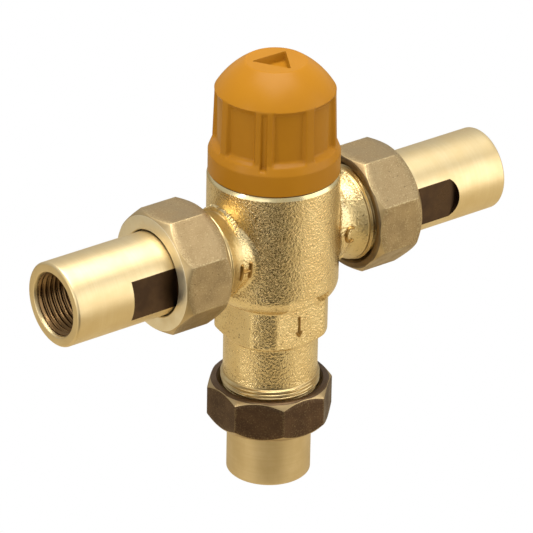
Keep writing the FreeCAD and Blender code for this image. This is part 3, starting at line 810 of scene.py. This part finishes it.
    def make_tailpiece(self, palette: Palette) -> bpy.types.Object:
        """Builds the collared tube, its wrench flats and its female thread.

        The rows run out along the collar and tube, over the soft end edge and
        back down the bore, where the radius follows the thread's helix.

        Args:
            palette: source of materials.

        Returns:
            The tube.
        """
        theta = self.tube_angles()
        near, back, reach = self.spigot_end + self.gap + self.washer_t, self.collar_back, self.reach
        start_bore = self.cage_bore_r if self.check else self.waterway_r
        rows = Rows(theta)
        rows.follow(softened([(start_bore, near), (self.collar_r, near), (self.collar_r, back),
                              (self.tube_r, back)], self.collar_soft, closed=False))
        if self.flats_end is not None:
            flat, limit = self.flat_radius(theta), self.flat_limit(theta)
            start = back + self.flats_after
            rows.add(self.tube_r, start)
            for level in (start, (start + limit) / 2, limit):
                rows.add(flat, level, TubeBand.FLAT)
            rows.add(self.tube_r, limit)
            rows.add(self.tube_r, (limit + reach - 1) / 2)
        lead, end = reach - self.port_lead, reach - self.port_length
        rows.follow(softened([(self.tube_r, reach - 2), (self.tube_r, reach - self.end_chamfer),
                              (self.tube_r - self.end_chamfer, reach), (self.port_mouth_r, reach),
                              (self.port_r, lead)], self.end_soft, closed=False))
        for z in np.arange(lead - 0.15, end, -self.port_pitch / self.port_steps):
            fade = max(0.0, min(1.0, (lead - z) / self.port_fades[0], (z - end) / self.port_fades[1]))
            wave = self.helix(-theta, z, self.port_pitch)
            rows.add(self.port_r - self.port_ridge * fade * wave, z, TubeBand.THREAD)
        rows.add(self.port_r, end)
        rows.add(self.waterway_r, end - 1.0)
        if self.check:
            rows.add(self.waterway_r, near + self.cage_length)
            rows.add(self.cage_bore_r, near + self.cage_length)
        else:
            rows.add(self.waterway_r, near + 1.0)
        r, z, kinds = rows.grids()
        kinds = np.repeat(kinds, len(theta), axis=1)
        after = np.roll(theta, -1)
        after[-1] += 2 * math.pi
        off_flat = np.abs(np.sin((after + theta) / 2)) * self.tube_r < self.flat_y
        kinds[(kinds == TubeBand.FLAT) & off_flat[None]] = TubeBand.TURNED
        finishes = (self.tube_finish, MILLED, SHADED_PORT_THREAD)
        return grid_piece(self.label + "_union_tube", self.axis.place(r, theta[None], z),
                          [palette.get(finish) for finish in finishes], kinds)

    def make_spigot(self, body: "Body", palette: Palette) -> bpy.types.Object:
        """Builds the neck and the externally threaded end that the nut runs on.

        The neck's rows lie on the forging's field.  Beyond it the radius swings
        between root and crest along a right-hand helix, which stands proud
        where the thread shows beside the nut.

        Args:
            body: the forging that the neck grows from.
            palette: source of materials.

        Returns:
            The neck with its thread.
        """
        theta = np.linspace(0, 2 * math.pi, 180, endpoint=False)
        rows = Rows(theta)
        mouth, root = self.nut_face - self.nut_length, self.thread_r - self.thread_depth
        rows.add(self.spigot_bore, self.spigot_from)
        if self.axis is Axis.OUTLET:
            rows.add(self.neck_r, self.spigot_from)
            rows.add(self.neck_r, self.relief_from - 0.25, NeckBand.THREAD)
        else:
            levels = np.arange(self.spigot_from, self.flare_to, self.flare_step)
            for z, r in zip(levels, body.neck_skin(self.axis, theta, levels)):
                rows.add(r + self.flare_proud, z)
            rows.add(self.neck_r, self.relief_from - 0.5, NeckBand.THREAD)
            rows.add(self.neck_r - self.relief_chamfer[0],
                     self.relief_from - self.relief_chamfer[1], NeckBand.THREAD)
        for z in np.arange(self.relief_from, self.spigot_end - self.thread_end,
                           self.thread_pitch / self.thread_steps):
            sunk = smooth_step(z, mouth + self.sink[0], mouth + self.sink[1])
            crest = self.proud_crest - (self.proud_crest - self.thread_r) * sunk
            fade = min(1.0, (z - self.relief_from) / self.start_fade + 0.1)
            wave = self.helix(theta, z, self.thread_pitch)
            rows.add(crest - self.thread_depth * (1 - fade * wave), z, NeckBand.THREAD)
        rows.follow([(root, self.spigot_end - 0.7),
                     (root - self.spigot_chamfer, self.spigot_end),
                     (self.spigot_bore + self.bore_chamfer, self.spigot_end),
                     (self.spigot_bore, self.spigot_end - self.bore_chamfer)], NeckBand.THREAD)
        return rows.piece(self.label + "_spigot", self.axis,
                          [palette.get(self.neck_finish), palette.get(THREAD)], sharp=50)

    def build(self, body: "Body", palette: Palette) -> list[bpy.types.Object]:
        """Makes the nut, tube and spigot and ties them to their bodies.

        Args:
            body: the forging that the spigot grows from.
            palette: source of materials.

        Returns:
            The three pieces.
        """
        nut, tube = self.make_nut(palette), self.make_tailpiece(palette)
        spigot = self.make_spigot(body, palette)
        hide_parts(self.label + "_union_nut")
        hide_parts(self.label + "_tailpiece")
        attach(nut, self.label + "_nut")
        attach(tube, self.label + "_tail")
        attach(spigot, "valve")
        return [nut, tube, spigot]


# --------------------------------------------------------------------- the body
class BodyBand(IntEnum):
    """Finishes of the forging's bands, in the order of its materials."""

    FORGED = 0
    MACHINED = 1


@dataclass
class Body:
    """The forged tee: drum, arm necks, wrench block and outlet neck."""

    drum_r: float = 21.8
    round_r: float = 6.3
    drum_low: float = -20.6
    top: float = 23.3
    rim_in: float = 0.75
    rim_drop: float = 1.1
    notch_half: float = 7.5
    notch_top: float = -14.85
    block_flat: float = 15.85
    block_corner: float = 18.6
    block_low: float = -33.5
    fade: float = 1.4
    neck_r: float = 15.65
    neck_end: float = -48.0
    arm_r: float = 13.7
    flare_r: float = 15.82
    flare_from: float = 21.5
    flare_to: float = 27.3
    arm_end: float = 28.6
    arm_cut: float = 22.3
    # round of the seams between the forging's shapes
    arm_blend: float = 1.3
    block_blend: float = 0.7
    neck_blend: float = 0.5
    notch_blend: float = 0.5
    corner_blend: float = 0.6
    cone_blend: float = 0.8
    cone_scale: float = 0.74
    neck_top: float = -14.0
    columns: int = 480
    row_step: float = 0.62
    # where each scan of rays starts, and its step
    skin_scan: Point = (35.7, 0.3)
    neck_scan: Point = (24.0, 0.2)
    front_scan: Point = (26.0, 0.25)
    # bores: bonnet, chamber and way out, then an inlet's and its window's radius and ends
    bores: tuple[float, float, float] = (16.0, 13.2, 11.2)
    mouth_chamfer: float = 0.2
    chamber_top: float = 12.0
    chamber_low: float = -13.0
    inlet_bore: tuple[float, float, float] = (11.4, 17.0, 26.0)
    window: tuple[float, float, float] = (4.5, 12.0, 17.5)
    window_lift: float = 6.0
    # cast marks: H left, right, foot, head and bar; C centre and half sizes; arrow
    # middle, tail and tip, then its barbs' half width and height
    hot_letter: tuple[float, ...] = (-22.6, -19.1, -5.1, 1.3, -1.9)
    cold_letter: tuple[float, ...] = (21.6, -1.0, 1.85, 2.7)
    arrow: tuple[float, ...] = (-0.5, -23.3, -30.7, 1.1, -28.8)
    # width and rise of the strokes of each mark
    hot_stroke: Point = (1.2, 0.75)
    cold_stroke: Point = (1.1, 0.75)
    arrow_stroke: Point = (0.9, 0.45)
    stroke_soft: float = 0.4
    stroke_step: float = 0.2

    def field(self, x: Array, y: Array, z: Array) -> Array:
        """Signed size of the forging at a point; negative inside.

        It is the smooth union of a drum with a rounded lower edge, a flared
        cylinder along X, a square block with turned corners and a round neck.

        Args:
            x: across.
            y: front to back.
            z: height above the inlet axis.

        Returns:
            Field values in millimetres.
        """
        r = np.hypot(x, y)
        turn = self.drum_low + self.round_r
        edge = np.hypot(np.clip(r - self.drum_r + self.round_r, 0, None), z - turn)
        drum = np.where(z > turn, r - self.drum_r, edge - self.round_r)
        notch = np.maximum(np.maximum(np.abs(x) - self.notch_half, self.block_flat - np.abs(y)),
                           z - self.notch_top)
        drum = smooth_max(drum, -notch, self.notch_blend)
        reach = np.abs(x)
        flare = np.clip((reach - self.flare_from) / (self.flare_to - self.flare_from), 0, 1) ** 2
        arm = np.hypot(y, z) - (self.arm_r + (self.flare_r - self.arm_r) * flare)
        arm = np.maximum(arm, reach - self.arm_end)
        flats = smooth_max(reach - self.block_flat, np.abs(y) - self.block_flat, self.corner_blend)
        slope = (self.block_corner - self.neck_r) / self.fade
        cone = r - self.neck_r - (z - self.block_low + self.fade) * slope
        block = smooth_max(flats, r - self.block_corner, self.corner_blend)
        block = smooth_max(block, cone * self.cone_scale, self.cone_blend)
        block = np.maximum(block, z - self.notch_top)
        neck = np.maximum(r - self.neck_r, z - self.neck_top)
        whole = smooth_min(drum, arm, self.arm_blend)
        whole = smooth_min(whole, block, self.block_blend)
        return smooth_min(whole, neck, self.neck_blend)

    def skin(self, theta: Array, z: Array) -> Array:
        """Radius of the forging along level rays from the valve axis.

        Args:
            theta: ray angles.
            z: ray heights above the inlet axis.

        Returns:
            Radii of shape (heights, angles).
        """
        cos, sin, height = np.cos(theta)[None], np.sin(theta)[None], z[:, None]
        r = surface_distance(lambda r: self.field(r * cos, r * sin, height),
                             (len(z), len(theta)), *self.skin_scan)
        return np.minimum(r, self.arm_cut / np.maximum(np.abs(cos), 1e-6))

    def neck_skin(self, axis: Axis, theta: Array, along: Array) -> Array:
        """Radius of an inlet neck along rays from the inlet axis.

        Args:
            axis: the inlet.
            theta: angles about the inlet axis.
            along: distances outwards.

        Returns:
            Radii of shape (distances, angles).
        """
        across, rise = np.sin(theta)[None], -axis.sign * np.cos(theta)[None]
        x = axis.sign * along[:, None]
        return surface_distance(lambda r: self.field(x, r * across, r * rise),
                                (len(along), len(theta)), *self.neck_scan)

    def front(self, x: Array, z: Array) -> Array:
        """Depth y of the front skin at points given by x and height."""
        return -surface_distance(lambda depth: self.field(x, -depth, z), x.shape, *self.front_scan)

    def levels(self) -> Array:
        """Heights of the skin's rows, close together at ledges.

        Returns:
            Heights above the inlet axis, rising.
        """
        rim = self.top - self.rim_drop
        plain = np.arange(self.neck_end, rim, self.row_step)
        fine = [np.arange(self.drum_low - 0.5, self.drum_low + 1.6, 0.16),
                np.arange(self.notch_top - 0.3, self.notch_top + 0.31, 0.15),
                np.arange(self.block_low - self.fade - 0.3, self.block_low + 0.8, 0.3)]
        for band in fine:
            plain = plain[(plain < band[0] - 0.1) | (plain > band[-1] + 0.1)]
        return np.unique(np.round(np.concatenate([plain, *fine, [self.neck_end, rim]]), 4))

    def make_forging(self, palette: Palette) -> bpy.types.Object:
        """Builds the forging's skin, machined rim and bores as one closed grid.

        Args:
            palette: source of materials.

        Returns:
            The forging, with its inlets bored.
        """
        theta = np.linspace(0, 2 * math.pi, self.columns, endpoint=False)
        z = self.levels()
        skin = self.skin(theta, z)
        z = z + ARM_Z
        top, step, low = (ARM_Z + level for level in (self.top, self.chamber_top, self.chamber_low))
        bonnet_r, chamber_r, way_r = self.bores
        rows = Rows(theta)
        rows.follow(zip(skin[:-1], z[:-1]))
        rows.add(skin[-1], z[-1], BodyBand.MACHINED)
        rows.follow([(self.drum_r - self.rim_in, top), (bonnet_r + self.mouth_chamfer, top),
                     (bonnet_r, top - self.mouth_chamfer), (bonnet_r, step), (chamber_r, step),
                     (chamber_r, low), (way_r, low)], BodyBand.MACHINED)
        rows.add(way_r, self.neck_end + ARM_Z)
        piece = rows.piece("valve_body_forging", Axis.UP,
                           [palette.get(FORGED), palette.get(BRIGHT_RIM)], sharp=40)
        self.bore_arms(piece, palette)
        return piece

    def bore_arms(self, piece: bpy.types.Object, palette: Palette) -> None:
        """Cuts the inlet bores and the windows into the chamber.

        Args:
            piece: the closed forging.
            palette: source of materials.
        """
        theta = np.linspace(0, 2 * math.pi, 96, endpoint=False)
        for axis in (Axis.HOT, Axis.COLD):
            for name, (radius, start, end), lift in (
                    ("bore", self.inlet_bore, 0.0),
                    ("window", self.window, axis.sign * self.window_lift)):
                rows = np.array([(0, start), (radius, start), (radius, end), (0, end)])
                points = axis.place(rows[:, :1], theta[None], rows[:, 1:])
                points[..., 2] += lift
                cutter = grid_piece("cutter_" + name, points, [palette.get(BRIGHT_RIM)],
                                    closed=False)
                cut = piece.modifiers.new("cut", "BOOLEAN")
                cut.operation, cut.solver, cut.object = "DIFFERENCE", "EXACT", cutter
                with bpy.context.temp_override(object=piece, active_object=piece):
                    bpy.ops.object.modifier_apply(modifier="cut")
                bpy.data.objects.remove(cutter)
        piece.data.set_sharp_from_angle(angle=math.radians(40))

    def stroke(self, name: str, path: Sequence[Point], width: float, rise: float,
               palette: Palette) -> bpy.types.Object:
        """Raises one cast stroke from the front skin.

        An ellipse is carried along the path; its upper half stands proud of the
        skin and its ends shrink to points.

        Args:
            name: the piece's name.
            path: corners of the stroke as x and height.
            width: width of the stroke.
            rise: how far it stands out.
            palette: source of materials.

        Returns:
            The stroke.
        """
        line = spaced(softened(path, self.stroke_soft, closed=False), self.stroke_step)
        tangent = np.gradient(line, axis=0)
        tangent /= np.linalg.norm(tangent, axis=1)[:, None]
        across = np.stack([-tangent[:, 1], tangent[:, 0]], 1)
        run = np.concatenate([[0], np.cumsum(np.linalg.norm(np.diff(line, axis=0), axis=1))])
        end = np.minimum(run, run[-1] - run) / (width / 2)
        swell = np.sqrt(np.clip(1 - (1 - np.clip(end, 0, 1)) ** 2, 0, 1))[:, None]
        phi = np.linspace(0, 2 * math.pi, 14, endpoint=False)[None]
        flat = line[:, None] + across[:, None] * (np.cos(phi) * swell * width / 2)[..., None]
        depth = self.front(flat[..., 0], flat[..., 1]) - rise * np.sin(phi) * swell
        points = np.stack([flat[..., 0], depth, flat[..., 1] + ARM_Z], -1)
        piece = grid_piece(name, points, [palette.get(SHADED_LETTER)], closed=False, sharp=60)
        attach(piece, "valve")
        return piece

    def make_marks(self, palette: Palette) -> list[bpy.types.Object]:
        """Casts the hot and cold letters on the necks and the flow arrow below.

        Args:
            palette: source of materials.

        Returns:
            The strokes.
        """
        left, right, foot, head, bar = self.hot_letter
        x, z, half_width, half_height = self.cold_letter
        angle = np.radians(np.linspace(48, 312, 15))
        arc = list(zip(x + half_width * np.cos(angle), z + half_height * np.sin(angle)))
        middle, tail, tip, barb_x, barb_z = self.arrow
        strokes = (
            ("hot_letter_left", [(left, foot), (left, head)], self.hot_stroke),
            ("hot_letter_right", [(right, foot), (right, head)], self.hot_stroke),
            ("hot_letter_bar", [(left, bar), (right, bar)], self.hot_stroke),
            ("cold_letter", arc, self.cold_stroke),
            ("flow_arrow_shaft", [(middle, tail), (middle, tip + 0.1)], self.arrow_stroke),
            ("flow_arrow_head", [(middle - barb_x, barb_z), (middle, tip),
                                 (middle + barb_x, barb_z)], self.arrow_stroke))
        return [self.stroke(name, path, *size, palette) for name, path, size in strokes]

    def build(self, palette: Palette) -> list[bpy.types.Object]:
        """Makes the forging and its cast marks and ties them to the valve.

        Args:
            palette: source of materials.

        Returns:
            The forging and its strokes.
        """
        forging = self.make_forging(palette)
        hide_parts("valve_body")
        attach(forging, "valve")
        return [forging, *self.make_marks(palette)]


# ---------------------------------------------------------------------- the cap
@dataclass
class Cap:
    """The domed adjusting cap with its fluted skirt and triangular pocket."""

    low: float = 110.15
    brim_r: float = 21.5
    brim_top: float = 117.8
    foot: Point = (20.25, 120.5)
    shoulder: Point = (19.65, 139.0)
    disc: Point = (10.0, 148.6)
    bulge: Point = (15.4, 144.4)
    flutes: int = 8
    turn: float = -137.4
    rib: float = 8.0
    index_rib: float = 15.0
    wall_deg: float = 3.0
    floor_r: float = 18.6
    flute_low: float = 120.1
    flute_foot: tuple[float, float] = (-0.5, 1.3)
    flute_head: tuple[float, float] = (-1.8, 0.1)
    wall_start_deg: float = -0.3
    slot_w: float = 2.0
    slot_depth: float = 0.6
    slot_low: float = 118.4
    slot_top: float = 138.4
    slot_soft: float = 0.8
    pocket_r: float = 7.8
    pocket_depth: float = 3.0
    pocket_turn: float = 150.0
    pocket_round: float = 0.35
    pocket_lip: float = 1.015
    brim_bore_r: float = 19.6
    brim_bore_top: float = 116.3
    bore_r: float = 16.85
    bore_low: float = 119.3
    bore_top: float = 137.0
    crown_r: float = 10.85
    ceiling: float = 143.0
    socket_r: float = 9.8
    socket_low: float = 127.5
    socket_in: float = 0.4
    key_r: float = 7.45
    key_round: float = 0.25
    key_top: float = 139.85

    def triangle(self, theta: Array, corner_r: float, soft: float) -> Array:
        """Radius of the pocket's triangle, given the radius to its sharp corners."""
        return rounded_polygon(theta, 3, corner_r / 2, soft, math.radians(self.pocket_turn))

    def dome(self) -> Array:
        """Points of the circle through the shoulder, the bulge and the disc.

        Returns:
            Radii and heights, from the shoulder up.
        """
        (x1, y1), (x2, y2), (x3, y3) = self.shoulder, self.bulge, self.disc
        matrix = np.array([[x2 - x1, y2 - y1], [x3 - x1, y3 - y1]]) * 2
        squares = [x * x + y * y - x1 * x1 - y1 * y1 for x, y in (self.bulge, self.disc)]
        centre = np.linalg.solve(matrix, np.array(squares))
        radius = math.hypot(x1 - centre[0], y1 - centre[1])
        ends = [math.atan2(y - centre[1], x - centre[0]) for x, y in (self.shoulder, self.disc)]
        angle = np.linspace(*ends, 30)
        return centre + radius * np.stack([np.cos(angle), np.sin(angle)], 1)

    def flank(self, theta: Array, r: Array, z: Array) -> Array:
        """Radius of the skirt with its flutes and index slot.

        A flute lowers the radius to its floor wherever the profile is outside
        that; smooth steps round its walls, its foot and its head.

        Args:
            theta: angles about the valve axis, radians.
            r: radii of the plain profile.
            z: heights of the profile.

        Returns:
            Lowered radii.
        """
        pitch = 360 / self.flutes
        to_index = nearest_offset(np.degrees(theta), self.turn, 360)
        rib = np.where(np.abs(to_index) < pitch / 2, self.index_rib, self.rib)
        edge = np.abs(nearest_offset(np.degrees(theta), self.turn, pitch)) - rib / 2
        across = smooth_step(edge, self.wall_start_deg, self.wall_deg)[None]
        up = smooth_step(z, *(self.flute_low + level for level in self.flute_foot))
        down = 1 - smooth_step(z, *(self.shoulder[1] + level for level in self.flute_head))
        out = r - np.clip(r - self.floor_r, 0, None) * up * down * across
        arc = np.radians(np.abs(to_index)) * self.shoulder[0]
        slot = 1 - smooth_step(arc, self.slot_w / 2 - 0.5, self.slot_w / 2 + 0.25)
        span = smooth_step(z, self.slot_low, self.slot_low + self.slot_soft)
        span = span * (1 - smooth_step(z, self.slot_top - self.slot_soft, self.slot_top))
        floor = self.shoulder[0] - self.slot_depth
        return out - np.clip(out - floor, 0, None) * slot[None] * span

    def shell_angles(self) -> Array:
        """Angles round the cap, close together at the walls of its flutes.

        Returns:
            Angles in radians, rising.
        """
        near = np.array([1.9, 2.6, 3.3, 4, 4.8, 6.8, 7.5, 8.2, 9])
        ribs = self.turn + np.arange(self.flutes) * 360 / self.flutes
        walls = np.radians(np.add.outer(ribs, np.concatenate([-near, near])).ravel() % 360)
        plain = np.linspace(0, 2 * math.pi, 300, endpoint=False)
        return np.unique(np.round(np.concatenate([plain, walls]), 5))

    def make_shell(self, palette: Palette) -> bpy.types.Object:
        """Builds the shell: pocket, disc, dome, skirt, brim and plain inside.

        Args:
            palette: source of materials.

        Returns:
            The shell.
        """
        theta = self.shell_angles()
        rows = Rows(theta)
        tri = self.triangle(theta, self.pocket_r, self.pocket_round)
        disc_r, top = self.disc
        deep, lip = self.pocket_depth, self.pocket_lip
        rows.add(0, top - deep)
        for share, drop in ((0.5, deep), (0.97, deep), (0.995, deep - 0.15), (1.0, 0.12), (lip, 0)):
            rows.add(tri * share, top - drop)
        for share in (0.3, 0.7):
            rows.add(tri * lip * (1 - share) + (disc_r - 0.5) * share, top)
        rows.add(disc_r - 0.45, top)
        skirt = np.array([self.shoulder, self.foot, (self.brim_r - 0.35, self.brim_top + 0.5),
                          (self.brim_r, self.brim_top - 0.4), (self.brim_r, self.low + 0.3),
                          (self.brim_r - 0.3, self.low)])
        profile = np.concatenate([self.dome()[::-1], spaced(skirt, 0.45)[1:]])
        plain_r, z = (profile[:, k:k + 1] * np.ones_like(theta) for k in (0, 1))
        rows.follow(zip(self.flank(theta, plain_r, z), z))
        rows.follow([(self.brim_bore_r, self.low), (self.brim_bore_r, self.brim_bore_top),
                     (self.bore_r, self.bore_low), (self.bore_r, self.bore_top),
                     (self.crown_r, self.ceiling), (0, self.ceiling)])
        return rows.piece("adjusting_cap_shell", Axis.UP, [palette.get(CAP)], closed=False, sharp=42)

    def make_socket(self, palette: Palette) -> bpy.types.Object:
        """Builds the boss under the dome that grips the spindle's triangular head.

        Args:
            palette: source of materials.

        Returns:
            The boss.
        """
        rows = Rows(np.linspace(0, 2 * math.pi, 180, endpoint=False))
        key = self.triangle(rows.theta, self.key_r, self.key_round)
        top = self.ceiling + self.socket_in
        rows.follow([(0, self.key_top), (key, self.key_top), (key, self.socket_low),
                     (self.socket_r, self.socket_low), (self.socket_r, top), (0, top)])
        return rows.piece("adjusting_cap_socket", Axis.UP, [palette.get(CAP)], closed=False)

    def build(self, palette: Palette) -> list[bpy.types.Object]:
        """Makes the cap's two pieces and ties them to the cap.

        Args:
            palette: source of materials.

        Returns:
            The shell and the boss.
        """
        shell, socket = self.make_shell(palette), self.make_socket(palette)
        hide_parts("temperature_cap")
        for piece in (shell, socket):
            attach(piece, "cap")
        return [shell, socket]


# ---------------------------------------------------------- the pieces inside
INNER: dict[Finish, tuple[str, ...]] = {
    CARTRIDGE_BRASS: ("bonnet", "adjusting_spindle", "overtravel_carrier"),
    STEEL: ("return_spring", "overtravel_spring", "hot_check_spring", "cold_check_spring",
            "spindle_clip", "overtravel_clip", "element_clip", "hot_strainer", "cold_strainer",
            "element_pin", "hot_seat", "overtravel_plate"),
    RUBBER: ("spindle_seal_lower", "spindle_seal_upper", "shuttle_seal", "hot_check_seal",
             "cold_check_seal", "bonnet_gasket"),
    FIBRE: ("hot_union_washer", "cold_union_washer", "outlet_union_washer"),
    BLACK_ACETAL: ("shuttle", "flow_guide"),
    WHITE_ACETAL: ("hot_check_cage", "cold_check_cage", "hot_check_poppet", "cold_check_poppet"),
    COPPER: ("wax_element",),
}


@dataclass(frozen=True)
class Spring:
    """A spring's CAD node, with its joint, way, fixed end and travel in metres; nothing here shortens
    it.
    """

    node: str
    joint: str
    way: int
    fixed: float
    travel: float

    def shorten(self, piece: bpy.types.Object) -> None:
        """Gives the spring's CAD node a mesh of its own; its points are read, not moved.

        Args:
            piece: the spring's CAD node.
        """
        flat = np.empty(len(piece.data.vertices) * 3)
        piece.data.vertices.foreach_get("co", flat)
        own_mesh(piece)


SPRINGS = (
    Spring("overtravel_spring", "overtravel", 2, 0.1055, 0.0015),
    Spring("hot_check_spring", "hot_check_lift", 0, -0.046, 0.003),
    Spring("cold_check_spring", "cold_check_lift", 0, 0.0444, 0.003),
)


def dress_inner(frame: dict, palette: Palette) -> None:
    """Gives each carried-over CAD node the finish of its real piece.

    Args:
        frame: the loaded frame.
        palette: source of materials.
    """
    for finish, nodes in INNER.items():
        for node in nodes:
            piece = frame["nodes"][node]
            if not piece.material_slots:
                piece.data.materials.append(None)
            for holder in piece.material_slots:
                holder.link = "OBJECT"
                holder.material = palette.get(finish)
            LOG.info("inner piece %s: %s", node, finish.name)


# ------------------------------------------------------------------- the studio
def put_in(name: str, data: bpy.types.ID) -> bpy.types.Object:
    """Makes an object of a mesh, a lamp or a camera and puts it in the scene."""
    thing = bpy.data.objects.new(name, data)
    bpy.context.scene.collection.objects.link(thing)
    return thing


def white_to_camera(tree: bpy.types.NodeTree, lit: bpy.types.Node, white: bpy.types.Node,
                    output: str) -> None:
    """Ends a tree in a white shader for camera rays and a lit one for all others.

    Args:
        tree: the node tree of a material or a world.
        lit: shader for every other ray.
        white: shader that the camera sees.
        output: type name of the output node.
    """
    rays = add_node(tree, "ShaderNodeLightPath")
    mix = add_node(tree, "ShaderNodeMixShader", inputs={
        0: rays.outputs["Is Camera Ray"], 1: lit.outputs[0], 2: white.outputs[0]})
    add_node(tree, output, inputs={"Surface": mix.outputs[0]})


@dataclass(frozen=True)
class Lamp:
    """A soft square or oblong lamp that faces the valve, in metres and watts."""

    name: str
    spot: tuple[float, float, float]
    size: float
    power: float
    tall: float | None = None

    def hang(self, aim: Vector) -> None:
        """Adds the lamp to the scene, turned towards the point aim.

        Args:
            aim: the point that the lamp faces.
        """
        data = bpy.data.lights.new(self.name, "AREA")
        data.energy, data.size = self.power, self.size
        if self.tall is not None:
            data.shape, data.size_y = "RECTANGLE", self.tall
        lamp = put_in(self.name, data)
        lamp.location = self.spot
        lamp.rotation_mode = "QUATERNION"
        lamp.rotation_quaternion = (aim - lamp.location).to_track_quat("-Z", "Y")


@dataclass
class Studio:
    """Pale floor, soft lamps and the camera; metres unless a comment says otherwise."""

    azimuth: float = -37.527
    elevation: float = 27.149
    roll: float = 1.101
    # the camera's place from the middle of the inlet axis, along its own right, up
    # and back, in millimetres, and its lens and sensor, in millimetres
    stand: tuple[float, float, float] = (-1.995, -10.608, 1494.432)
    lens: float = 310.25556
    sensor: float = 36.0
    clip: tuple[float, float] = (0.05, 20.0)
    aim: tuple[float, float, float] = (0.0, 0.0, 0.09)
    lamps: tuple[Lamp, ...] = (
        Lamp("top_soft", (0.0, 0.0, 1.0), 0.8, 13.0),
        Lamp("left_strip", (-1.0, 0.05, 0.35), 0.06, 1.6, 0.9),
        Lamp("left_soft", (-1.0, -0.3, 0.12), 1.2, 4.0, 1.3),
        Lamp("right_soft", (0.8, -0.9, 0.30), 1.1, 6.5, 1.1))
    room_light: float = 0.55
    floor_z: float = -0.26
    floor_half: float = 6.0
    floor_tone: tuple[float, float, float, float] = (0.56, 0.48, 0.33, 1.0)
    card_r: float = 0.24
    card_levels: tuple[float, float] = (-0.085, 0.06)
    card_turn: float = -127.5
    card_half: float = 34.0
    card_columns: int = 25
    card_tone: str = "1A120B"

    def camera(self) -> None:
        """Stands the camera where it sees the valve from above its hot front."""
        az, el, roll = (math.radians(a) for a in (self.azimuth, self.elevation, self.roll))
        back = np.array([math.sin(az) * math.cos(el), -math.cos(az) * math.cos(el), math.sin(el)])
        level = np.array([math.cos(az), math.sin(az), 0.0])
        rise = np.cross(back, level)
        turn = np.stack([math.cos(roll) * level + math.sin(roll) * rise,
                         math.cos(roll) * rise - math.sin(roll) * level, back], 1)
        data = bpy.data.cameras.new("camera")
        data.sensor_width, data.lens = self.sensor, self.lens
        data.clip_start, data.clip_end = self.clip
        camera = put_in("camera", data)
        place = Matrix(turn.tolist()).to_4x4()
        place.translation = Vector((turn @ np.array(self.stand) + (0, 0, ARM_Z)) * MM)
        camera.matrix_world = place
        bpy.context.scene.camera = camera

    def floor(self) -> None:
        """Lays the floor: white to the camera, pale brass-brown in reflections."""
        mesh = bpy.data.meshes.new("floor")
        corners = [(x * self.floor_half, y * self.floor_half, self.floor_z)
                   for x, y in ((-1, -1), (1, -1), (1, 1), (-1, 1))]
        mesh.from_pydata(corners, [], [(0, 1, 2, 3)])
        material = bpy.data.materials.new("pale_floor")
        material.use_nodes = True
        tree = material.node_tree
        tree.nodes.clear()
        pale = add_node(tree, "ShaderNodeBsdfDiffuse", inputs={"Color": self.floor_tone})
        white = add_node(tree, "ShaderNodeEmission", inputs={"Color": WHITE, "Strength": 1.0})
        white_to_camera(tree, pale, white, "ShaderNodeOutputMaterial")
        mesh.materials.append(material)
        put_in("floor", mesh)

    def world(self) -> None:
        """Surrounds the valve with a plain pale studio, white to the camera."""
        world = bpy.data.worlds.new("studio")
        bpy.context.scene.world = world
        world.use_nodes = True
        tree = world.node_tree
        tree.nodes.clear()
        room, white = (add_node(tree, "ShaderNodeBackground", inputs={
            "Color": WHITE, "Strength": strength}) for strength in (self.room_light, 1.0))
        white_to_camera(tree, room, white, "ShaderNodeOutputWorld")

    def card(self) -> None:
        """Hangs a dark curved card low in front, which the bright metal mirrors."""
        count = self.card_columns
        angle = np.radians(self.card_turn + np.linspace(-self.card_half, self.card_half, count))
        ring = self.card_r * np.stack([np.cos(angle), np.sin(angle)], 1)
        points = np.concatenate([np.insert(ring, 2, z, axis=1) for z in self.card_levels])
        low, high = np.arange(2 * count).reshape(2, count)
        faces = np.stack([low[:-1], low[1:], high[1:], high[:-1]], -1)
        mesh = bpy.data.meshes.new("dark_card")
        mesh.from_pydata(points.tolist(), [], faces.tolist())
        material = bpy.data.materials.new("black_felt")
        material.use_nodes = True
        shader = material.node_tree.nodes["Principled BSDF"]
        for key, value in (("Base Color", linear(self.card_tone)), ("Roughness", 1.0),
                           ("Specular IOR Level", 0.0)):
            shader.inputs[key].default_value = value
        mesh.materials.append(material)
        card = put_in("dark_card", mesh)
        card.visible_camera = card.visible_diffuse = card.visible_shadow = False

    def build(self) -> None:
        """Sets the camera, the lamps, the floor and the world."""
        bpy.context.scene.view_settings.view_transform = "Standard"
        self.camera()
        self.floor()
        self.world()
        self.card()
        for lamp in self.lamps:
            lamp.hang(Vector(self.aim))


# ------------------------------------------------------------------------- main
def main() -> None:
    """Builds every piece around the frame."""
    logging.basicConfig(level=logging.INFO, format="%(name)s: %(message)s")
    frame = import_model()
    palette = Palette()
    unions = (
        Union(Axis.HOT, 48.6, 18.0, -2.5, 86.7, flats_end=65.2),
        Union(Axis.COLD, 47.0, 18.0, 0.0, 86.7, flats_end=67.0, cutter_r=9.3),
        # the outlet nut takes the darkened finishes: painted shade
        Union(Axis.OUTLET, 66.6, 14.2, -2.0, 86.5, skin=SHADED_NUT_SKIN,
              face_finish=SHADED_NUT_FACE, bevel_finish=SHADED_NUT_FACE,
              mouth_finish=SHADED_NUT_MOUTH, tube_finish=TURNED_DOWN, neck_finish=FORGED,
              nut_slot="outlet_nut_brass", check=False, spigot_from=47.4,
              spigot_bore=11.2, relief_from=49.2, neck_r=15.66),
    )
    body = Body()
    pieces = body.build(palette) + Cap().build(palette)
    for union in unions:
        pieces += union.build(body, palette)
    for piece in pieces:
        LOG.info("piece %s: %d faces", piece.name, len(piece.data.polygons))
    dress_inner(frame, palette)
    for spring in SPRINGS:
        spring.shorten(frame["nodes"][spring.node])
    Studio().build()


if __name__ == "__main__":
    main()
